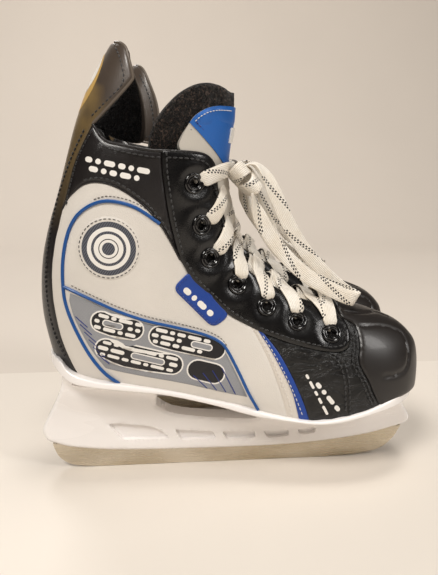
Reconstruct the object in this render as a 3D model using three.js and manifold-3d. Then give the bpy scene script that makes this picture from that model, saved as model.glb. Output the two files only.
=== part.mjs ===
// A pair of child's ice hockey skates, in millimetres, +Z up, toes along +X.
// The right skate is built once in its own frame and mirrored for the left one.
// Skate frame: x forward, y = 0 on the blade, outer (lateral) side at -y, z = 0 on the ice.

import * as THREE from "three";
import { mergeVertices } from "three/addons/utils/BufferGeometryUtils.js";
import Module from "manifold-3d";

const wasm = await Module();
wasm.setup();

// ---------------------------------------------------------------- driving dimensions
const PAIR_SPACING = 92; // between the two blades
const PAIR_STAGGER = 9; // the left skate stands this much further forward
const CENTRE_SHIFT = 2; // puts the pair's middle over the origin
const GAP = 0.3; // clearance between touching pieces
const BEYOND = 150; // past every edge of a skate

const SHELL = { outer: 0, inner: -3.6 }; // foam-backed outer panels
const FACING = { outer: 0, inner: -2.3 }; // lace facing, with an eyelet strip behind it
const EYELET_STRIP = { outer: -2.6, inner: -3.5 };
const LINER = { outer: -4.0, inner: -7.4 };
const TONGUE = { outer: -4.1, inner: -9.6 };
const TONGUE_FLAP = { outer: -0.8, inner: -7.0 };
const GUARD = { outer: 0, inner: -5.2 };
const APPLIQUE = { outer: 1.2, inner: 0.35 }; // badges, patches and the printed mesh panel
const INSOLE_BOARD = { bottom: 0.3, top: 2.0 }; // above the outsole
const FOOTBED = { bottom: 2.3, top: 5.6 };

const RUNNER_THICKNESS = 3.0;
const TANG_RISE = 6.5; // how far the runner goes up into its holder
const EYELET = { flange: 5.0, barrel: 3.0, bottom: -2.9, flangeBottom: 0.5, flangeTop: 1.5, hole: 3.6 };
const LACE = { width: 8, thickness: 1.4, bottom: 3.3, roundRadius: 2.0 };

// ---------------------------------------------------------------- solids
function flipped(index) {
  for (let i = 0; i < index.length; i += 3) {
    [index[i + 1], index[i + 2]] = [index[i + 2], index[i + 1]];
  }
  return index;
}

function solidFrom(points, index) {
  const vertProperties = new Float32Array(points.flatMap((p) => [p.x, p.y, p.z]));
  const make = (triVerts) =>
    new wasm.Manifold(new wasm.Mesh({ numProp: 3, vertProperties, triVerts }));
  const solid = make(new Uint32Array(index));
  return solid.volume() > 0 ? solid : make(flipped(new Uint32Array(index)));
}

function solidOf(geometry) {
  const bare = new THREE.BufferGeometry();
  bare.setAttribute("position", geometry.getAttribute("position"));
  bare.setIndex(geometry.index);
  const merged = mergeVertices(bare, 1e-3);
  return new wasm.Manifold(
    new wasm.Mesh({
      numProp: 3,
      vertProperties: merged.attributes.position.array,
      triVerts: new Uint32Array(merged.index.array),
    }),
  );
}

function geometryOf(solid) {
  const mesh = solid.getMesh();
  const geometry = new THREE.BufferGeometry();
  geometry.setAttribute("position", new THREE.BufferAttribute(mesh.vertProperties, 3));
  geometry.setIndex(new THREE.BufferAttribute(mesh.triVerts, 1));
  return geometry;
}

// The largest connected piece, which drops any sliver that a cut leaves.
function mainBody(solid) {
  const bodies = solid.decompose();
  return bodies.reduce((a, b) => (b.volume() > a.volume() ? b : a));
}

// A closed body through rings of points, with a point at each end. The second half of each
// ring is split the other way, so that a mirrored body has the same faces on both sides.
function ringBody(start, rings, end) {
  const count = rings[0].length;
  const points = [start, ...rings.flat(), end];
  const at = (ring, j) => 1 + ring * count + (j % count);
  const index = [];
  for (let j = 0; j < count; j++) {
    index.push(0, at(0, j + 1), at(0, j));
    for (let i = 0; i + 1 < rings.length; i++) {
      const [a, b, c, d] = [at(i, j), at(i, j + 1), at(i + 1, j + 1), at(i + 1, j)];
      if (j < count / 2) index.push(a, b, d, b, c, d);
      else index.push(a, b, c, a, c, d);
    }
    index.push(at(rings.length - 1, j), at(rings.length - 1, j + 1), points.length - 1);
  }
  return solidFrom(points, index);
}

// A side-view outline [x, z] pushed through from y0 to y1.
function sidePrism(outline, y0 = -BEYOND, y1 = BEYOND) {
  const shape = new THREE.Shape(outline.map(([x, z]) => new THREE.Vector2(x, z)));
  const geometry = new THREE.ExtrudeGeometry(shape, { depth: y1 - y0, bevelEnabled: false });
  geometry.rotateX(Math.PI / 2);
  geometry.translate(0, y1, 0);
  return solidOf(geometry);
}

// Moves each edge of a closed outline inwards, for the gap between neighbours.
function inset(outline, distance = GAP / 2) {
  const points = outline.map(([x, z]) => new THREE.Vector2(x, z));
  const turn = THREE.ShapeUtils.area(points) > 0 ? 1 : -1;
  return points.map((p, i) => {
    const before = points[(i + points.length - 1) % points.length];
    const after = points[(i + 1) % points.length];
    const a = p.clone().sub(before).normalize();
    const b = after.clone().sub(p).normalize();
    const normal = new THREE.Vector2(-a.y - b.y, a.x + b.x).multiplyScalar(turn).normalize();
    const half = Math.max(0.5, normal.dot(new THREE.Vector2(-a.y, a.x).multiplyScalar(turn)));
    return [p.x + (normal.x * distance) / half, p.y + (normal.y * distance) / half];
  });
}

function circle(x, z, radius, count) {
  return Array.from({ length: count }, (_, i) => {
    const angle = (2 * Math.PI * i) / count;
    return [x + radius * Math.cos(angle), z + radius * Math.sin(angle)];
  });
}

// Straight-line interpolation in a list of [x, value].
function along(list, x) {
  if (x <= list[0][0]) return list[0][1];
  for (let i = 1; i < list.length; i++) {
    const [x0, v0] = list[i - 1];
    const [x1, v1] = list[i];
    if (x <= x1) return v0 + ((v1 - v0) * (x - x0)) / (x1 - x0);
  }
  return list[list.length - 1][1];
}

// ---------------------------------------------------------------- boot surface
// Sections fan out from the toe, round the instep, to the top of the tendon guard. Each goes
// from a point on the bottom or back of the boot to a point on its top or front:
// [x, z of the bottom point, x, z of the top point, half width, where it is widest]
const SECTIONS = [
  [115, 61, 115, 61, 0, 0.4],
  [113.5, 48, 114, 77, 10, 0.42],
  [109, 38, 110, 84, 18.5, 0.38],
  [101, 31, 102, 91, 26.5, 0.34],
  [90, 26, 90, 96.5, 32.5, 0.32],
  [76, 23, 74, 102, 36, 0.3],
  [60, 20, 59, 106.5, 37, 0.28],
  [42, 20, 44, 113, 35.5, 0.28],
  [22, 24, 31, 120, 33, 0.29],
  [0, 30, 21, 126.5, 31, 0.32],
  [-25, 36, 14, 133, 29.5, 0.36],
  [-52, 41, 8.5, 139, 29.5, 0.4],
  [-78, 46, 4.5, 145, 30, 0.43],
  [-97, 54, 2, 151, 30.5, 0.45],
  [-108, 70, 0, 158, 31, 0.46],
  [-113, 92, -1.5, 165, 31.5, 0.47],
  [-115, 114, -3, 172.5, 32, 0.48],
  [-113.5, 134, -4, 181, 32, 0.49],
  [-109, 153, -4, 190, 31.5, 0.5],
  [-102.5, 173, -3, 199, 31, 0.5],
  [-96.5, 194, -1.5, 209, 30.5, 0.5],
  [-90.5, 214, -0.5, 219, 30, 0.5],
  [-82.5, 233, 0, 229, 29, 0.5],
  [-72, 251, 0, 239, 28, 0.5],
  [-64, 262, 0, 248, 27, 0.5],
];
const SQUARENESS = 2.3; // exponent of the sections' ellipses
const RINGS = 16; // lengthwise steps of a faceted body
const RING_POINTS = 12;

const spline = (points) => new THREE.CatmullRomCurve3(points, false, "catmullrom", 0.5);
const bottomCurve = spline(SECTIONS.map(([x, z, , , w]) => new THREE.Vector3(x, w, z)));
const topCurve = spline(SECTIONS.map(([, , x, z, , m]) => new THREE.Vector3(x, m, z)));

// t runs from the toe (0) to the top (1); angle runs from 0 at the bottom or back, past the
// outer side (-y), to PI at the top or front, and on round the inner side.
function bootPoint(t, angle) {
  const bottom = bottomCurve.getPoint(t);
  const top = topCurve.getPoint(t);
  const cosine = Math.cos(angle);
  const reach = Math.abs(cosine) ** (2 / SQUARENESS);
  const share = cosine > 0 ? top.y * (1 - reach) : top.y + (1 - top.y) * reach;
  const bulge = Math.abs(Math.sin(angle)) ** (2 / SQUARENESS);
  const side = Math.sin(angle) > 0 ? -1 : 1;
  return new THREE.Vector3(
    bottom.x + (top.x - bottom.x) * share,
    side * bottom.y * bulge,
    bottom.z + (top.z - bottom.z) * share,
  );
}

function bootNormal(t, angle) {
  const step = 0.004;
  const turn = 0.05;
  const lengthwise = bootPoint(Math.min(t + step, 1), angle).sub(bootPoint(t - step, angle));
  const around = bootPoint(t, angle + turn).sub(bootPoint(t, angle - turn));
  return around.cross(lengthwise).normalize();
}

function skin(t, angle, offset) {
  return bootPoint(t, angle).addScaledVector(bootNormal(t, angle), offset);
}

const gridPoint = (i, j, offset) => skin(i / RINGS, (2 * Math.PI * j) / RING_POINTS, offset);

// The same place on the flat faces that stand in for the curved surface.
function facetPoint(t, angle, offset = 0) {
  const u = t * RINGS;
  const v = (angle * RING_POINTS) / (2 * Math.PI);
  const i = Math.min(Math.floor(u), RINGS - 1);
  const j = Math.floor(v);
  const near = gridPoint(i, j, offset).lerp(gridPoint(i, j + 1, offset), v - j);
  const far = gridPoint(i + 1, j, offset).lerp(gridPoint(i + 1, j + 1, offset), v - j);
  return near.lerp(far, u - i);
}

// The whole boot as one body, moved out or in by an offset.
function bootBody(offset) {
  const rings = [];
  for (let i = 1; i <= RINGS; i++) {
    rings.push(Array.from({ length: RING_POINTS }, (_, j) => gridPoint(i, j, offset)));
  }
  const toe = bootPoint(0, 0).add(new THREE.Vector3(offset, 0, 0));
  const lid = rings[rings.length - 1]
    .reduce((sum, p) => sum.add(p), new THREE.Vector3())
    .divideScalar(RING_POINTS);
  return ringBody(toe, rings, lid);
}

const layer = ({ outer, inner }) => bootBody(outer).subtract(bootBody(inner));

// The place on the outer side whose side view is (x, z): its t and angle.
function locate(x, z) {
  let best = { t: 0.5, angle: Math.PI / 2, miss: Infinity };
  let reach = 1;
  for (let round = 0; round < 7; round++) {
    const { t: t0, angle: a0 } = best;
    for (let i = -20; i <= 20; i++) {
      for (let j = -20; j <= 20; j++) {
        const t = Math.min(1, Math.max(0, t0 + (i / 40) * reach));
        const angle = Math.min(Math.PI, Math.max(0, a0 + (j / 40) * reach * Math.PI));
        const p = bootPoint(t, angle);
        const miss = Math.hypot(p.x - x, p.z - z);
        if (miss < best.miss) best = { t, angle, miss };
      }
    }
    reach *= 0.3;
  }
  return best;
}

// ---------------------------------------------------------------- seams, as side views [x, z]
const RIM_TOP = [
  [-112, 78.5], [-104, 76], [-100, 71.5], [-94, 68.5], [-82, 65.5], [-69, 63.5], [-50, 60],
  [-34, 56.7], [-19, 53], [-1, 49], [12, 45.4], [28, 42], [44, 40.4], [58, 42],
  [73, 45.2], [84, 48.5], [96, 51.5], [114, 53],
];
const RIM_BOTTOM = [
  [-112, 72], [-104, 66.5], [-98, 63], [-91, 61.5], [-71, 59], [-45, 55], [-12, 47], [0, 43.6],
  [12, 41], [28, 39.2], [44, 37.6], [57, 38.2], [69, 40.3], [84, 43.2], [100, 45], [114, 45.5],
];
const RIM_HALF_WIDTH = [
  [-112, 3], [-110, 10], [-104, 20], [-95, 26], [-80, 29], [-60, 29], [-40, 28], [-20, 28.5],
  [0, 31], [20, 35], [40, 38.5], [60, 40], [75, 38.5], [85, 36], [95, 31], [103, 23.5],
  [109, 15], [113, 4],
];
// The outsole is straight between its stations, so its neighbours follow the same lines.
const atStations = (line) => RIM_HALF_WIDTH.map(([x]) => [x, along(line, x)]);
const OUTSOLE_TOP = atStations(RIM_TOP);
const OUTSOLE_BOTTOM = atStations(RIM_BOTTOM);
const BACK_SEAM = [
  [-80, 216], [-82, 208], [-90, 192.5], [-97, 176], [-101, 164], [-106, 142], [-108, 120],
  [-105, 94], [-98, 76], [-90, 60],
];
const QUARTER_TOP = [
  [-101, 164], [-94, 171], [-86, 177.5], [-77, 179], [-66, 175.5], [-54, 167], [-46, 158],
  [-40, 148], [-34, 136],
];
const QUARTER_FRONT = [[-34, 136], [-27, 124], [-18, 114.5], [-6, 103], [7, 95.5]];
const FACING_BACK = [[-43, 200], [-42.5, 182], [-39.5, 160], [-34, 136]];
const FACING_FRONT = [
  [-13, 184], [-11, 172], [-7, 154], [-3, 139], [3, 130], [15, 121], [30, 113], [54, 104],
];
const FACING_LOW = [[14, 92], [30, 86], [48, 81.5], [60, 81], [65, 86], [63, 97], [54, 104]];
const COLLAR_LINE = [
  [-110, 198], [-92, 204], [-80, 209.5], [-74, 201.5], [-66, 199], [-50, 196], [-30, 195],
  [-20, 193.5], [-15, 189.5], [-13, 184],
];
const STRIPE_BACK = [[7, 95.5], [14, 82], [21, 66], [26, 50], [30, 30]];
const STRIPE_FRONT = [[14, 92], [23, 80], [31, 65], [37, 51], [43, 30]];
const CAP_SEAM = [[61, 130], [62, 99], [70, 94], [71.5, 84], [70.5, 74], [76, 63], [80, 54], [85, 30]];
const TONGUE_BACK = [
  [-27, 192.5], [-22, 172], [-16, 152], [-8, 136], [6, 121], [24, 108], [44, 98], [60, 93],
];

// ---------------------------------------------------------------- boot pieces
const reversed = (list) => [...list].reverse();

// A side-view line moved up by a rise, and run on past both ends of the skate.
function raised(line, rise) {
  const moved = line.map(([x, z]) => [x, z + rise]);
  moved[0][0] = -BEYOND;
  moved[moved.length - 1][0] = BEYOND;
  return moved;
}

function slabOverOutsole(bottom, top) {
  return sidePrism([...raised(OUTSOLE_TOP, bottom), ...reversed(raised(OUTSOLE_TOP, top))]);
}

const aboveOutsole = (rise) => slabOverOutsole(rise, 2 * BEYOND);
const belowOutsole = (drop) =>
  sidePrism([...raised(OUTSOLE_BOTTOM, -drop), [BEYOND, -BEYOND], [-BEYOND, -BEYOND]]);

const outerSide = (outline) => sidePrism(inset(outline), -BEYOND, -GAP / 2);
const innerSide = (outline) => sidePrism(inset(outline), GAP / 2, BEYOND);
const shell = layer(SHELL).intersect(aboveOutsole(GAP));

const TOE_CAP = [...CAP_SEAM, [BEYOND, 30], [BEYOND, 130]];
const VAMP = [
  ...reversed(STRIPE_FRONT),
  ...FACING_LOW.slice(1),
  [54, 130],
  ...CAP_SEAM,
];
const STRIPE = [...STRIPE_BACK, ...reversed(STRIPE_FRONT)];
const QUARTER = [
  ...QUARTER_TOP,
  ...QUARTER_FRONT.slice(1),
  ...STRIPE_BACK.slice(1),
  [-85, 30],
  ...reversed(BACK_SEAM).slice(0, 5),
];
const COLLAR = [
  ...QUARTER_TOP,
  ...reversed(FACING_BACK).slice(1, 3),
  [-43, 195.6],
  ...reversed(COLLAR_LINE.slice(2, 6)),
  ...BACK_SEAM.slice(1, 4),
];
const BACKSTAY = [[-BEYOND, 198], ...COLLAR_LINE.slice(0, 3), ...BACK_SEAM.slice(1), [-BEYOND, 60]];
const FACING_PANEL = [
  [-43, 195.6],
  ...COLLAR_LINE.slice(6),
  ...FACING_FRONT.slice(1, 7),
  [54, 104],
  ...reversed(FACING_LOW).slice(1),
  ...reversed(QUARTER_FRONT),
  ...reversed(FACING_BACK).slice(1, 3),
];

function toeCap() {
  return shell.intersect(sidePrism(inset(TOE_CAP)));
}

function vamp() {
  return shell.intersect(sidePrism(inset(VAMP)));
}

function backstay() {
  return shell.intersect(sidePrism(inset(BACKSTAY)));
}

function liner() {
  const belowCollar = sidePrism([
    ...COLLAR_LINE.slice(0, 7).map(([x, z]) => [x, z - 0.5]),
    ...TONGUE_BACK.map(([x, z]) => [x - 0.5, z - 0.5]),
    [66, 92],
    [66, 110],
    [BEYOND, 110],
    [BEYOND, 30],
    [-BEYOND, 30],
    [-BEYOND, 190],
  ]);
  return layer(LINER).intersect(aboveOutsole(FOOTBED.bottom)).intersect(belowCollar);
}

function insoleBoard() {
  return bootBody(LINER.outer).intersect(slabOverOutsole(INSOLE_BOARD.bottom, INSOLE_BOARD.top));
}

function footbed() {
  const inside = bootBody(LINER.inner - GAP);
  return inside.intersect(slabOverOutsole(FOOTBED.bottom, FOOTBED.top));
}

function tongue() {
  const front = [[65, 93], [65, 130], [40, 192.5]];
  return layer(TONGUE).intersect(sidePrism([...TONGUE_BACK, ...front]));
}

function tongueFlap() {
  const outline = [
    [-50, 200.5], [-48, 207], [-42, 218], [-34, 226.5], [-24, 231.5], [20, 233], [20, 194],
    [-10, 194], [-15, 199.5],
  ];
  return layer(TONGUE_FLAP).intersect(sidePrism(outline));
}

function tongueBadge() {
  const outline = [[-24, 200], [-27, 222], [-22, 229], [20, 231], [20, 199]];
  const skinLayer = layer({ outer: APPLIQUE.outer - 0.7, inner: TONGUE_FLAP.outer + GAP });
  return skinLayer.intersect(sidePrism(outline, -16, 16));
}

function tendonGuard() {
  const back = [[-BEYOND, 270], [-BEYOND, 200], [-104, 201.5], [-92, 205.5]];
  const outerWing = [
    [-81, 211.5], [-71, 221], [-63, 228], [-58.5, 234], [-59, 242], [-62, 251], [-66, 256],
  ];
  const innerWing = [
    [-81, 211.5], [-74, 205], [-64, 202.5], [-55, 202.5], [-53, 209], [-53, 219], [-55, 229],
    [-60, 246], [-66, 256],
  ];
  const padded = layer(GUARD);
  const outer = padded.intersect(sidePrism([...back, ...outerWing], -BEYOND, 0.001));
  const inner = padded.intersect(sidePrism([...back, ...innerWing], 0, BEYOND));
  return outer.add(inner);
}

// ---------------------------------------------------------------- appliques on the outer side
const RING_PATCH = circle(-73, 143, 16.5, 24);
const SIDE_BADGE = [
  [-31, 127], [-36, 122], [-35.5, 116], [-28, 106], [-20, 98.5], [-14, 98], [-9.5, 103.5],
];
const MESH_PANEL = [
  [-93, 117], [-70, 108], [-40, 98.5], [-14, 90], [-7, 80], [1, 64], [8, 52], [-10, 55],
  [-34, 61], [-62, 67], [-80, 72], [-88, 88],
];

function applique(outline) {
  return layer(APPLIQUE).intersect(sidePrism(outline, -BEYOND, 0));
}

// ---------------------------------------------------------------- eyelets and laces
// Seven eyelets on each facing, from the ankle to the toe, as side views [x, z].
const EYELETS = [[-26, 178], [-22, 155], [-17, 136], [-1, 120], [16, 107], [34, 98], [54, 90.5]];

const EYELET_SIDES = 7;

// A turned piece on the line through a place on the boot, from a profile [radius, height].
function turned(profile, { centre, normal }) {
  const geometry = new THREE.LatheGeometry(
    profile.map(([radius, height]) => new THREE.Vector2(radius, height)),
    EYELET_SIDES,
  );
  const up = new THREE.Vector3(0, 1, 0);
  geometry.applyQuaternion(new THREE.Quaternion().setFromUnitVectors(up, normal));
  geometry.translate(centre.x, centre.y, centre.z);
  return solidOf(geometry);
}

const eyeletPlaces = EYELETS.map(([x, z]) => {
  const { t, angle } = locate(x, z);
  return { t, angle, centre: facetPoint(t, angle), normal: bootNormal(t, angle) };
});

// The inner side of a piece that was made for the outer side.
function otherSide(solid) {
  const geometry = geometryOf(solid);
  geometry.scale(1, -1, 1);
  geometry.setIndex(new THREE.BufferAttribute(flipped(geometry.index.array), 1));
  return solidOf(geometry);
}

function facing() {
  const panel = layer(FACING).intersect(outerSide(FACING_PANEL));
  const hole = [[0, -6], [EYELET.hole, -6], [EYELET.hole, 6], [0, 6]];
  return eyeletPlaces.reduce((solid, place) => solid.subtract(turned(hole, place)), panel);
}

function eyeletStrip() {
  const outline = [
    ...FACING_FRONT.map(([x, z]) => [x - 7, z - 3]),
    ...reversed(FACING_FRONT).map(([x, z]) => [x - 17, z - 13]),
  ];
  outline[0] = [-19, 187];
  outline[outline.length - 1] = [-33, 187];
  outline[7] = [60, 95];
  outline[8] = [48, 86];
  const strip = layer(EYELET_STRIP).intersect(sidePrism(outline, -BEYOND, 0));
  const profile = [
    [0, EYELET.bottom], [EYELET.barrel, EYELET.bottom],
    [EYELET.barrel, EYELET.flangeBottom], [EYELET.flange, EYELET.flangeBottom],
    [EYELET.flange, EYELET.flangeTop], [0, EYELET.flangeTop],
  ];
  return eyeletPlaces.reduce((solid, place) => solid.add(turned(profile, place)), strip);
}

// A flat strap through places [t, angle] at a height over the boot's surface.
function strap(places, bottom) {
  const rings = places.map(([t, angle], i) => {
    const centre = facetPoint(t, angle, bottom);
    const before = facetPoint(...places[Math.max(0, i - 1)], bottom);
    const after = facetPoint(...places[Math.min(places.length - 1, i + 1)], bottom);
    const normal = bootNormal(t, angle);
    const across = after.sub(before).cross(normal).normalize();
    return [[-1, 0], [1, 0], [1, 1], [-1, 1]].map(([s, up]) =>
      centre
        .clone()
        .addScaledVector(across, (s * LACE.width) / 2)
        .addScaledVector(normal, up * LACE.thickness),
    );
  });
  const middle = (ring) =>
    ring.reduce((sum, p) => sum.add(p), new THREE.Vector3()).divideScalar(ring.length);
  return ringBody(middle(rings[0]), rings, middle(rings[rings.length - 1]));
}

// Places from the knot to a top eyelet, then from side to side down to the toe.
function zigzag(firstSide) {
  const stops = eyeletPlaces.map(({ t, angle }, row) => {
    const outer = (row % 2 === 0) === (firstSide === "outer");
    return [t, outer ? angle : 2 * Math.PI - angle];
  });
  const places = [[eyeletPlaces[0].t, Math.PI]];
  const steps = 4;
  stops.forEach(([t, angle], row) => {
    const [t0, angle0] = places[places.length - 1];
    const count = row === 0 ? 2 : steps;
    for (let i = 1; i <= count; i++) {
      places.push([t0 + ((t - t0) * i) / count, angle0 + ((angle - angle0) * i) / count]);
    }
  });
  return places;
}

function lacedLace() {
  const outerFirst = strap(zigzag("outer"), LACE.bottom);
  const innerFirst = strap(zigzag("inner"), LACE.bottom);
  return outerFirst.add(innerFirst);
}

// The free ends hang from the knot over the instep, fold on the toe and come back up.
const FREE_LACE_OUTER = [
  [2, -8, 182], [5, -8.5, 187], [11, -9, 188], [17, -9.5, 182], [23, -10, 170], [30.5, -10, 154],
  [39, -10, 140], [48.5, -10, 128.5], [58, -10, 119], [66, -10, 112.5], [71, -11.5, 109.5],
  [72.5, -14.5, 108.5], [70, -17.8, 108.8], [64, -18.5, 111], [56, -18.5, 114.8],
  [47, -18.5, 119.6], [38, -18.5, 126], [28, -18.5, 135.5], [19, -18.5, 147], [12, -18.5, 160],
  [8, -18, 172],
];
const FREE_LACE_INNER = [
  [2, 1, 182], [5, 1, 186], [9.5, 0.5, 186], [14, 0, 178], [17.5, -1, 167], [20, -1.5, 156],
  [23, -1.5, 146], [28, -1.5, 137], [34.5, -1, 130], [40, 1, 125.5], [42.5, 4, 123.5],
  [42.5, 7, 123.5], [39, 10, 126], [33, 11, 130.8], [27, 11, 137], [21.5, 11, 145],
  [16.5, 11, 154], [12, 11, 163], [8, 11, 173],
];

function freeLace(route) {
  const path = new THREE.CatmullRomCurve3(route.map(([x, y, z]) => new THREE.Vector3(x, y, z)));
  const section = new THREE.Shape(
    circle(0, 0, LACE.roundRadius, 8).map(([x, y]) => new THREE.Vector2(x, y)),
  );
  const steps = 20;
  const geometry = new THREE.ExtrudeGeometry(section, { extrudePath: path, steps });
  return solidOf(geometry);
}

// ---------------------------------------------------------------- outsole, holder and runner
// A closed body from stations along x, each a mirrored half section [y, z].
function stationBody(stations) {
  const rings = stations.map(({ x, half }) => [
    ...half.map(([y, z]) => new THREE.Vector3(x, -y, z)),
    ...reversed(half).map(([y, z]) => new THREE.Vector3(x, y, z)),
  ]);
  const middle = (ring) =>
    ring.reduce((sum, p) => sum.add(p), new THREE.Vector3()).divideScalar(ring.length);
  return ringBody(middle(rings[0]), rings, middle(rings[rings.length - 1]));
}

function outsole() {
  const xs = RIM_HALF_WIDTH.map(([x]) => x);
  return stationBody(
    xs.map((x) => {
      const w = along(RIM_HALF_WIDTH, x);
      const top = along(OUTSOLE_TOP, x);
      const bottom = along(OUTSOLE_BOTTOM, x);
      const edge = Math.min(1.2, w / 3);
      return {
        x,
        half: [
          [w - edge, bottom],
          [w, bottom + 1.2],
          [w, top - 1],
          [w - edge, top],
        ],
      };
    }),
  );
}

const BLADE_LINE = [[-114, 18], [-100, 14], [-68, 11], [-2, 10], [44, 11], [83, 15], [110, 21.5]];
const HOLDER_OUTLINE = [
  [-119, 25], [-117, 20], ...BLADE_LINE, [113, 23], [114, 26.5], [112, 31], [106, 38], [100, 50],
  [-103, 75], [-105, 56], [-118, 29],
];
const WINDOW = [
  [-49, 42], [-42, 37.5], [-34, 35], [-20, 33], [-10, 32], [3, 31], [12, 31], [15, 33], [12, 36.5],
  [0, 41], [-12, 45], [-28, 49], [-44, 53.5], [-47, 50],
];
const WEB_SLOTS = [
  [[-78, 28], [-74, 29], [-51, 25.5], [-46, 23], [-42, 19], [-70, 20]],
  [[-38, 23], [-15, 21], [-12.5, 18], [-34, 18]],
  [[-8, 20.5], [12, 20], [13, 18], [-6, 17]],
  [[18, 19.5], [34, 20], [34, 18], [21, 17]],
  [[40, 20.5], [52, 21.5], [51, 19.5], [42, 18.5]],
];

// Half width of the holder at a share of its height, from the blade to the outsole.
function holderHalfWidth(x, share) {
  const flare = 0.82 * along(RIM_HALF_WIDTH, Math.max(-104, Math.min(100, x)));
  return along([[0, 4.2], [0.25, 5.2], [0.5, 7], [0.72, 10.5], [0.88, 0.6 * flare], [1, flare]], share);
}

function bladeHolder() {
  const xs = [-120, -104, -80, -50, -20, 10, 40, 62, 84, 102, 115];
  const body = stationBody(
    xs.map((x) => {
      const bottom = along(BLADE_LINE, x) - 3;
      const top = along(OUTSOLE_BOTTOM, x) + 3;
      return {
        x,
        half: [0, 0.25, 0.5, 0.72, 0.88, 1].map((share) => [
          holderHalfWidth(x, share),
          bottom + (top - bottom) * share,
        ]),
      };
    }),
  );
  const groove = [[-BEYOND, 0], ...TANG.map(([x, z]) => [x, z + 2 * GAP]), [BEYOND, 0]];
  const half = RUNNER_THICKNESS / 2 + GAP;
  return WEB_SLOTS.reduce(
    (solid, slot) => solid.subtract(sidePrism(slot)),
    body
      .intersect(sidePrism(HOLDER_OUTLINE))
      .intersect(belowOutsole(GAP))
      .subtract(sidePrism(WINDOW))
      .subtract(sidePrism(groove, -half, half)),
  );
}

const RUNNER_BOTTOM = [
  [-114, 16], [-109.5, 6.5], [-103.5, 2.3], [-95, 0.6], [-85, 0], [60, 0], [80, 1.2], [96, 4.3],
  [104.5, 11], [110, 20],
];
// Top edge of the runner, up inside the holder.
const TANG = [
  [-114, 16], [-108, 17.5], [-100, 13.7 + TANG_RISE * 0.4], [-68, 10.7 + TANG_RISE * 0.5],
  [-2, 9.7 + TANG_RISE * 0.55], [44, 10.7 + TANG_RISE * 0.5], [83, 14.7 + TANG_RISE * 0.6],
  [100, 20.5], [110, 20],
];

function runner() {
  const outline = [...RUNNER_BOTTOM, ...reversed(TANG).slice(1, -1)];
  const half = RUNNER_THICKNESS / 2;
  return sidePrism(outline, -half, half);
}

// ---------------------------------------------------------------- materials
const finish = (color, roughness, metalness = 0) =>
  new THREE.MeshStandardMaterial({ color, roughness, metalness });

const MATERIALS = {
  steel: finish(0xb9b2a4, 0.28, 1),
  whitePlastic: finish(0xefe9e2, 0.3),
  board: finish(0x8a7f70, 0.9),
  blackGloss: finish(0x15141a, 0.22),
  blackLeather: finish(0x1a191d, 0.42),
  darkLeather: finish(0x1e1b1c, 0.5),
  greyLeather: finish(0xc9c1b4, 0.5),
  guardGrey: finish(0x6d6a66, 0.4),
  fleece: finish(0x111114, 0.95),
  blackEnamel: finish(0x0b0b0d, 0.18, 0.4),
  blue: finish(0x1f4fae, 0.42),
  meshPrint: finish(0xa9a9ab, 0.7),
  ringPrint: finish(0xe9e6e2, 0.5),
  lace: finish(0xeee6d8, 0.85),
};

// ---------------------------------------------------------------- one skate's pieces
function skatePieces() {
  const quarter = shell.intersect(outerSide(QUARTER));
  const collar = shell.intersect(outerSide(COLLAR));
  const stripe = shell.intersect(outerSide(STRIPE));
  const lacePanel = facing();
  const eyelets = eyeletStrip();
  return {
    runner: [runner(), "steel"],
    blade_holder: [bladeHolder(), "whitePlastic"],
    outsole: [outsole(), "whitePlastic"],
    insole_board: [insoleBoard(), "board"],
    footbed: [footbed(), "fleece"],
    liner: [liner(), "fleece"],
    toe_cap: [toeCap(), "blackGloss"],
    vamp: [vamp(), "blackLeather"],
    quarter_outer: [quarter, "greyLeather"],
    quarter_inner: [otherSide(quarter), "greyLeather"],
    stripe_outer: [stripe, "blue"],
    stripe_inner: [otherSide(stripe), "blue"],
    collar_outer: [collar, "darkLeather"],
    collar_inner: [otherSide(collar), "darkLeather"],
    backstay: [backstay(), "greyLeather"],
    facing_outer: [lacePanel, "blackGloss"],
    facing_inner: [otherSide(lacePanel), "blackGloss"],
    eyelets_outer: [eyelets, "blackEnamel"],
    eyelets_inner: [otherSide(eyelets), "blackEnamel"],
    tongue: [tongue(), "fleece"],
    tongue_flap: [tongueFlap(), "fleece"],
    tongue_badge: [tongueBadge(), "blue"],
    tendon_guard: [tendonGuard(), "guardGrey"],
    ring_patch: [applique(RING_PATCH), "ringPrint"],
    side_badge: [applique(SIDE_BADGE), "blue"],
    mesh_panel: [applique(MESH_PANEL), "meshPrint"],
    lace_laced: [lacedLace(), "lace"],
    lace_free_outer: [freeLace(FREE_LACE_OUTER), "lace"],
    lace_free_inner: [freeLace(FREE_LACE_INNER), "lace"],
  };
}

function skateGroup(side, pieces) {
  const group = new THREE.Group();
  for (const [name, [solid, material]] of Object.entries(pieces)) {
    const body = mainBody(side === "left" ? otherSide(solid) : solid);
    const mesh = new THREE.Mesh(geometryOf(body), MATERIALS[material]);
    mesh.name = `${side}_${name}`;
    group.add(mesh);
  }
  const sign = side === "left" ? 1 : -1;
  group.position.set((sign * PAIR_STAGGER) / 2, (sign * PAIR_SPACING) / 2, 0);
  return group;
}

const pieces = skatePieces();
const pair = new THREE.Group();
pair.position.x = CENTRE_SHIFT;
pair.add(skateGroup("right", pieces), skateGroup("left", pieces));

export default pair;
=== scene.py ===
# %% [markdown]
# # A pair of child's ice hockey skates
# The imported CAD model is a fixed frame: it says where each part is and how it moves. This
# lesson builds what the eye sees on it: leather panels, stitching, felt, laces, moulded
# plastic and ground steel. Each skate is built once, in the right skate's own frame in
# millimetres, and every piece is then placed twice: as it is, and mirrored for the left foot.

# %% Load the frame
import math

import bpy
import numpy as np
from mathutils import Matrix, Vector
from mathutils.geometry import delaunay_2d_cdt


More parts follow.
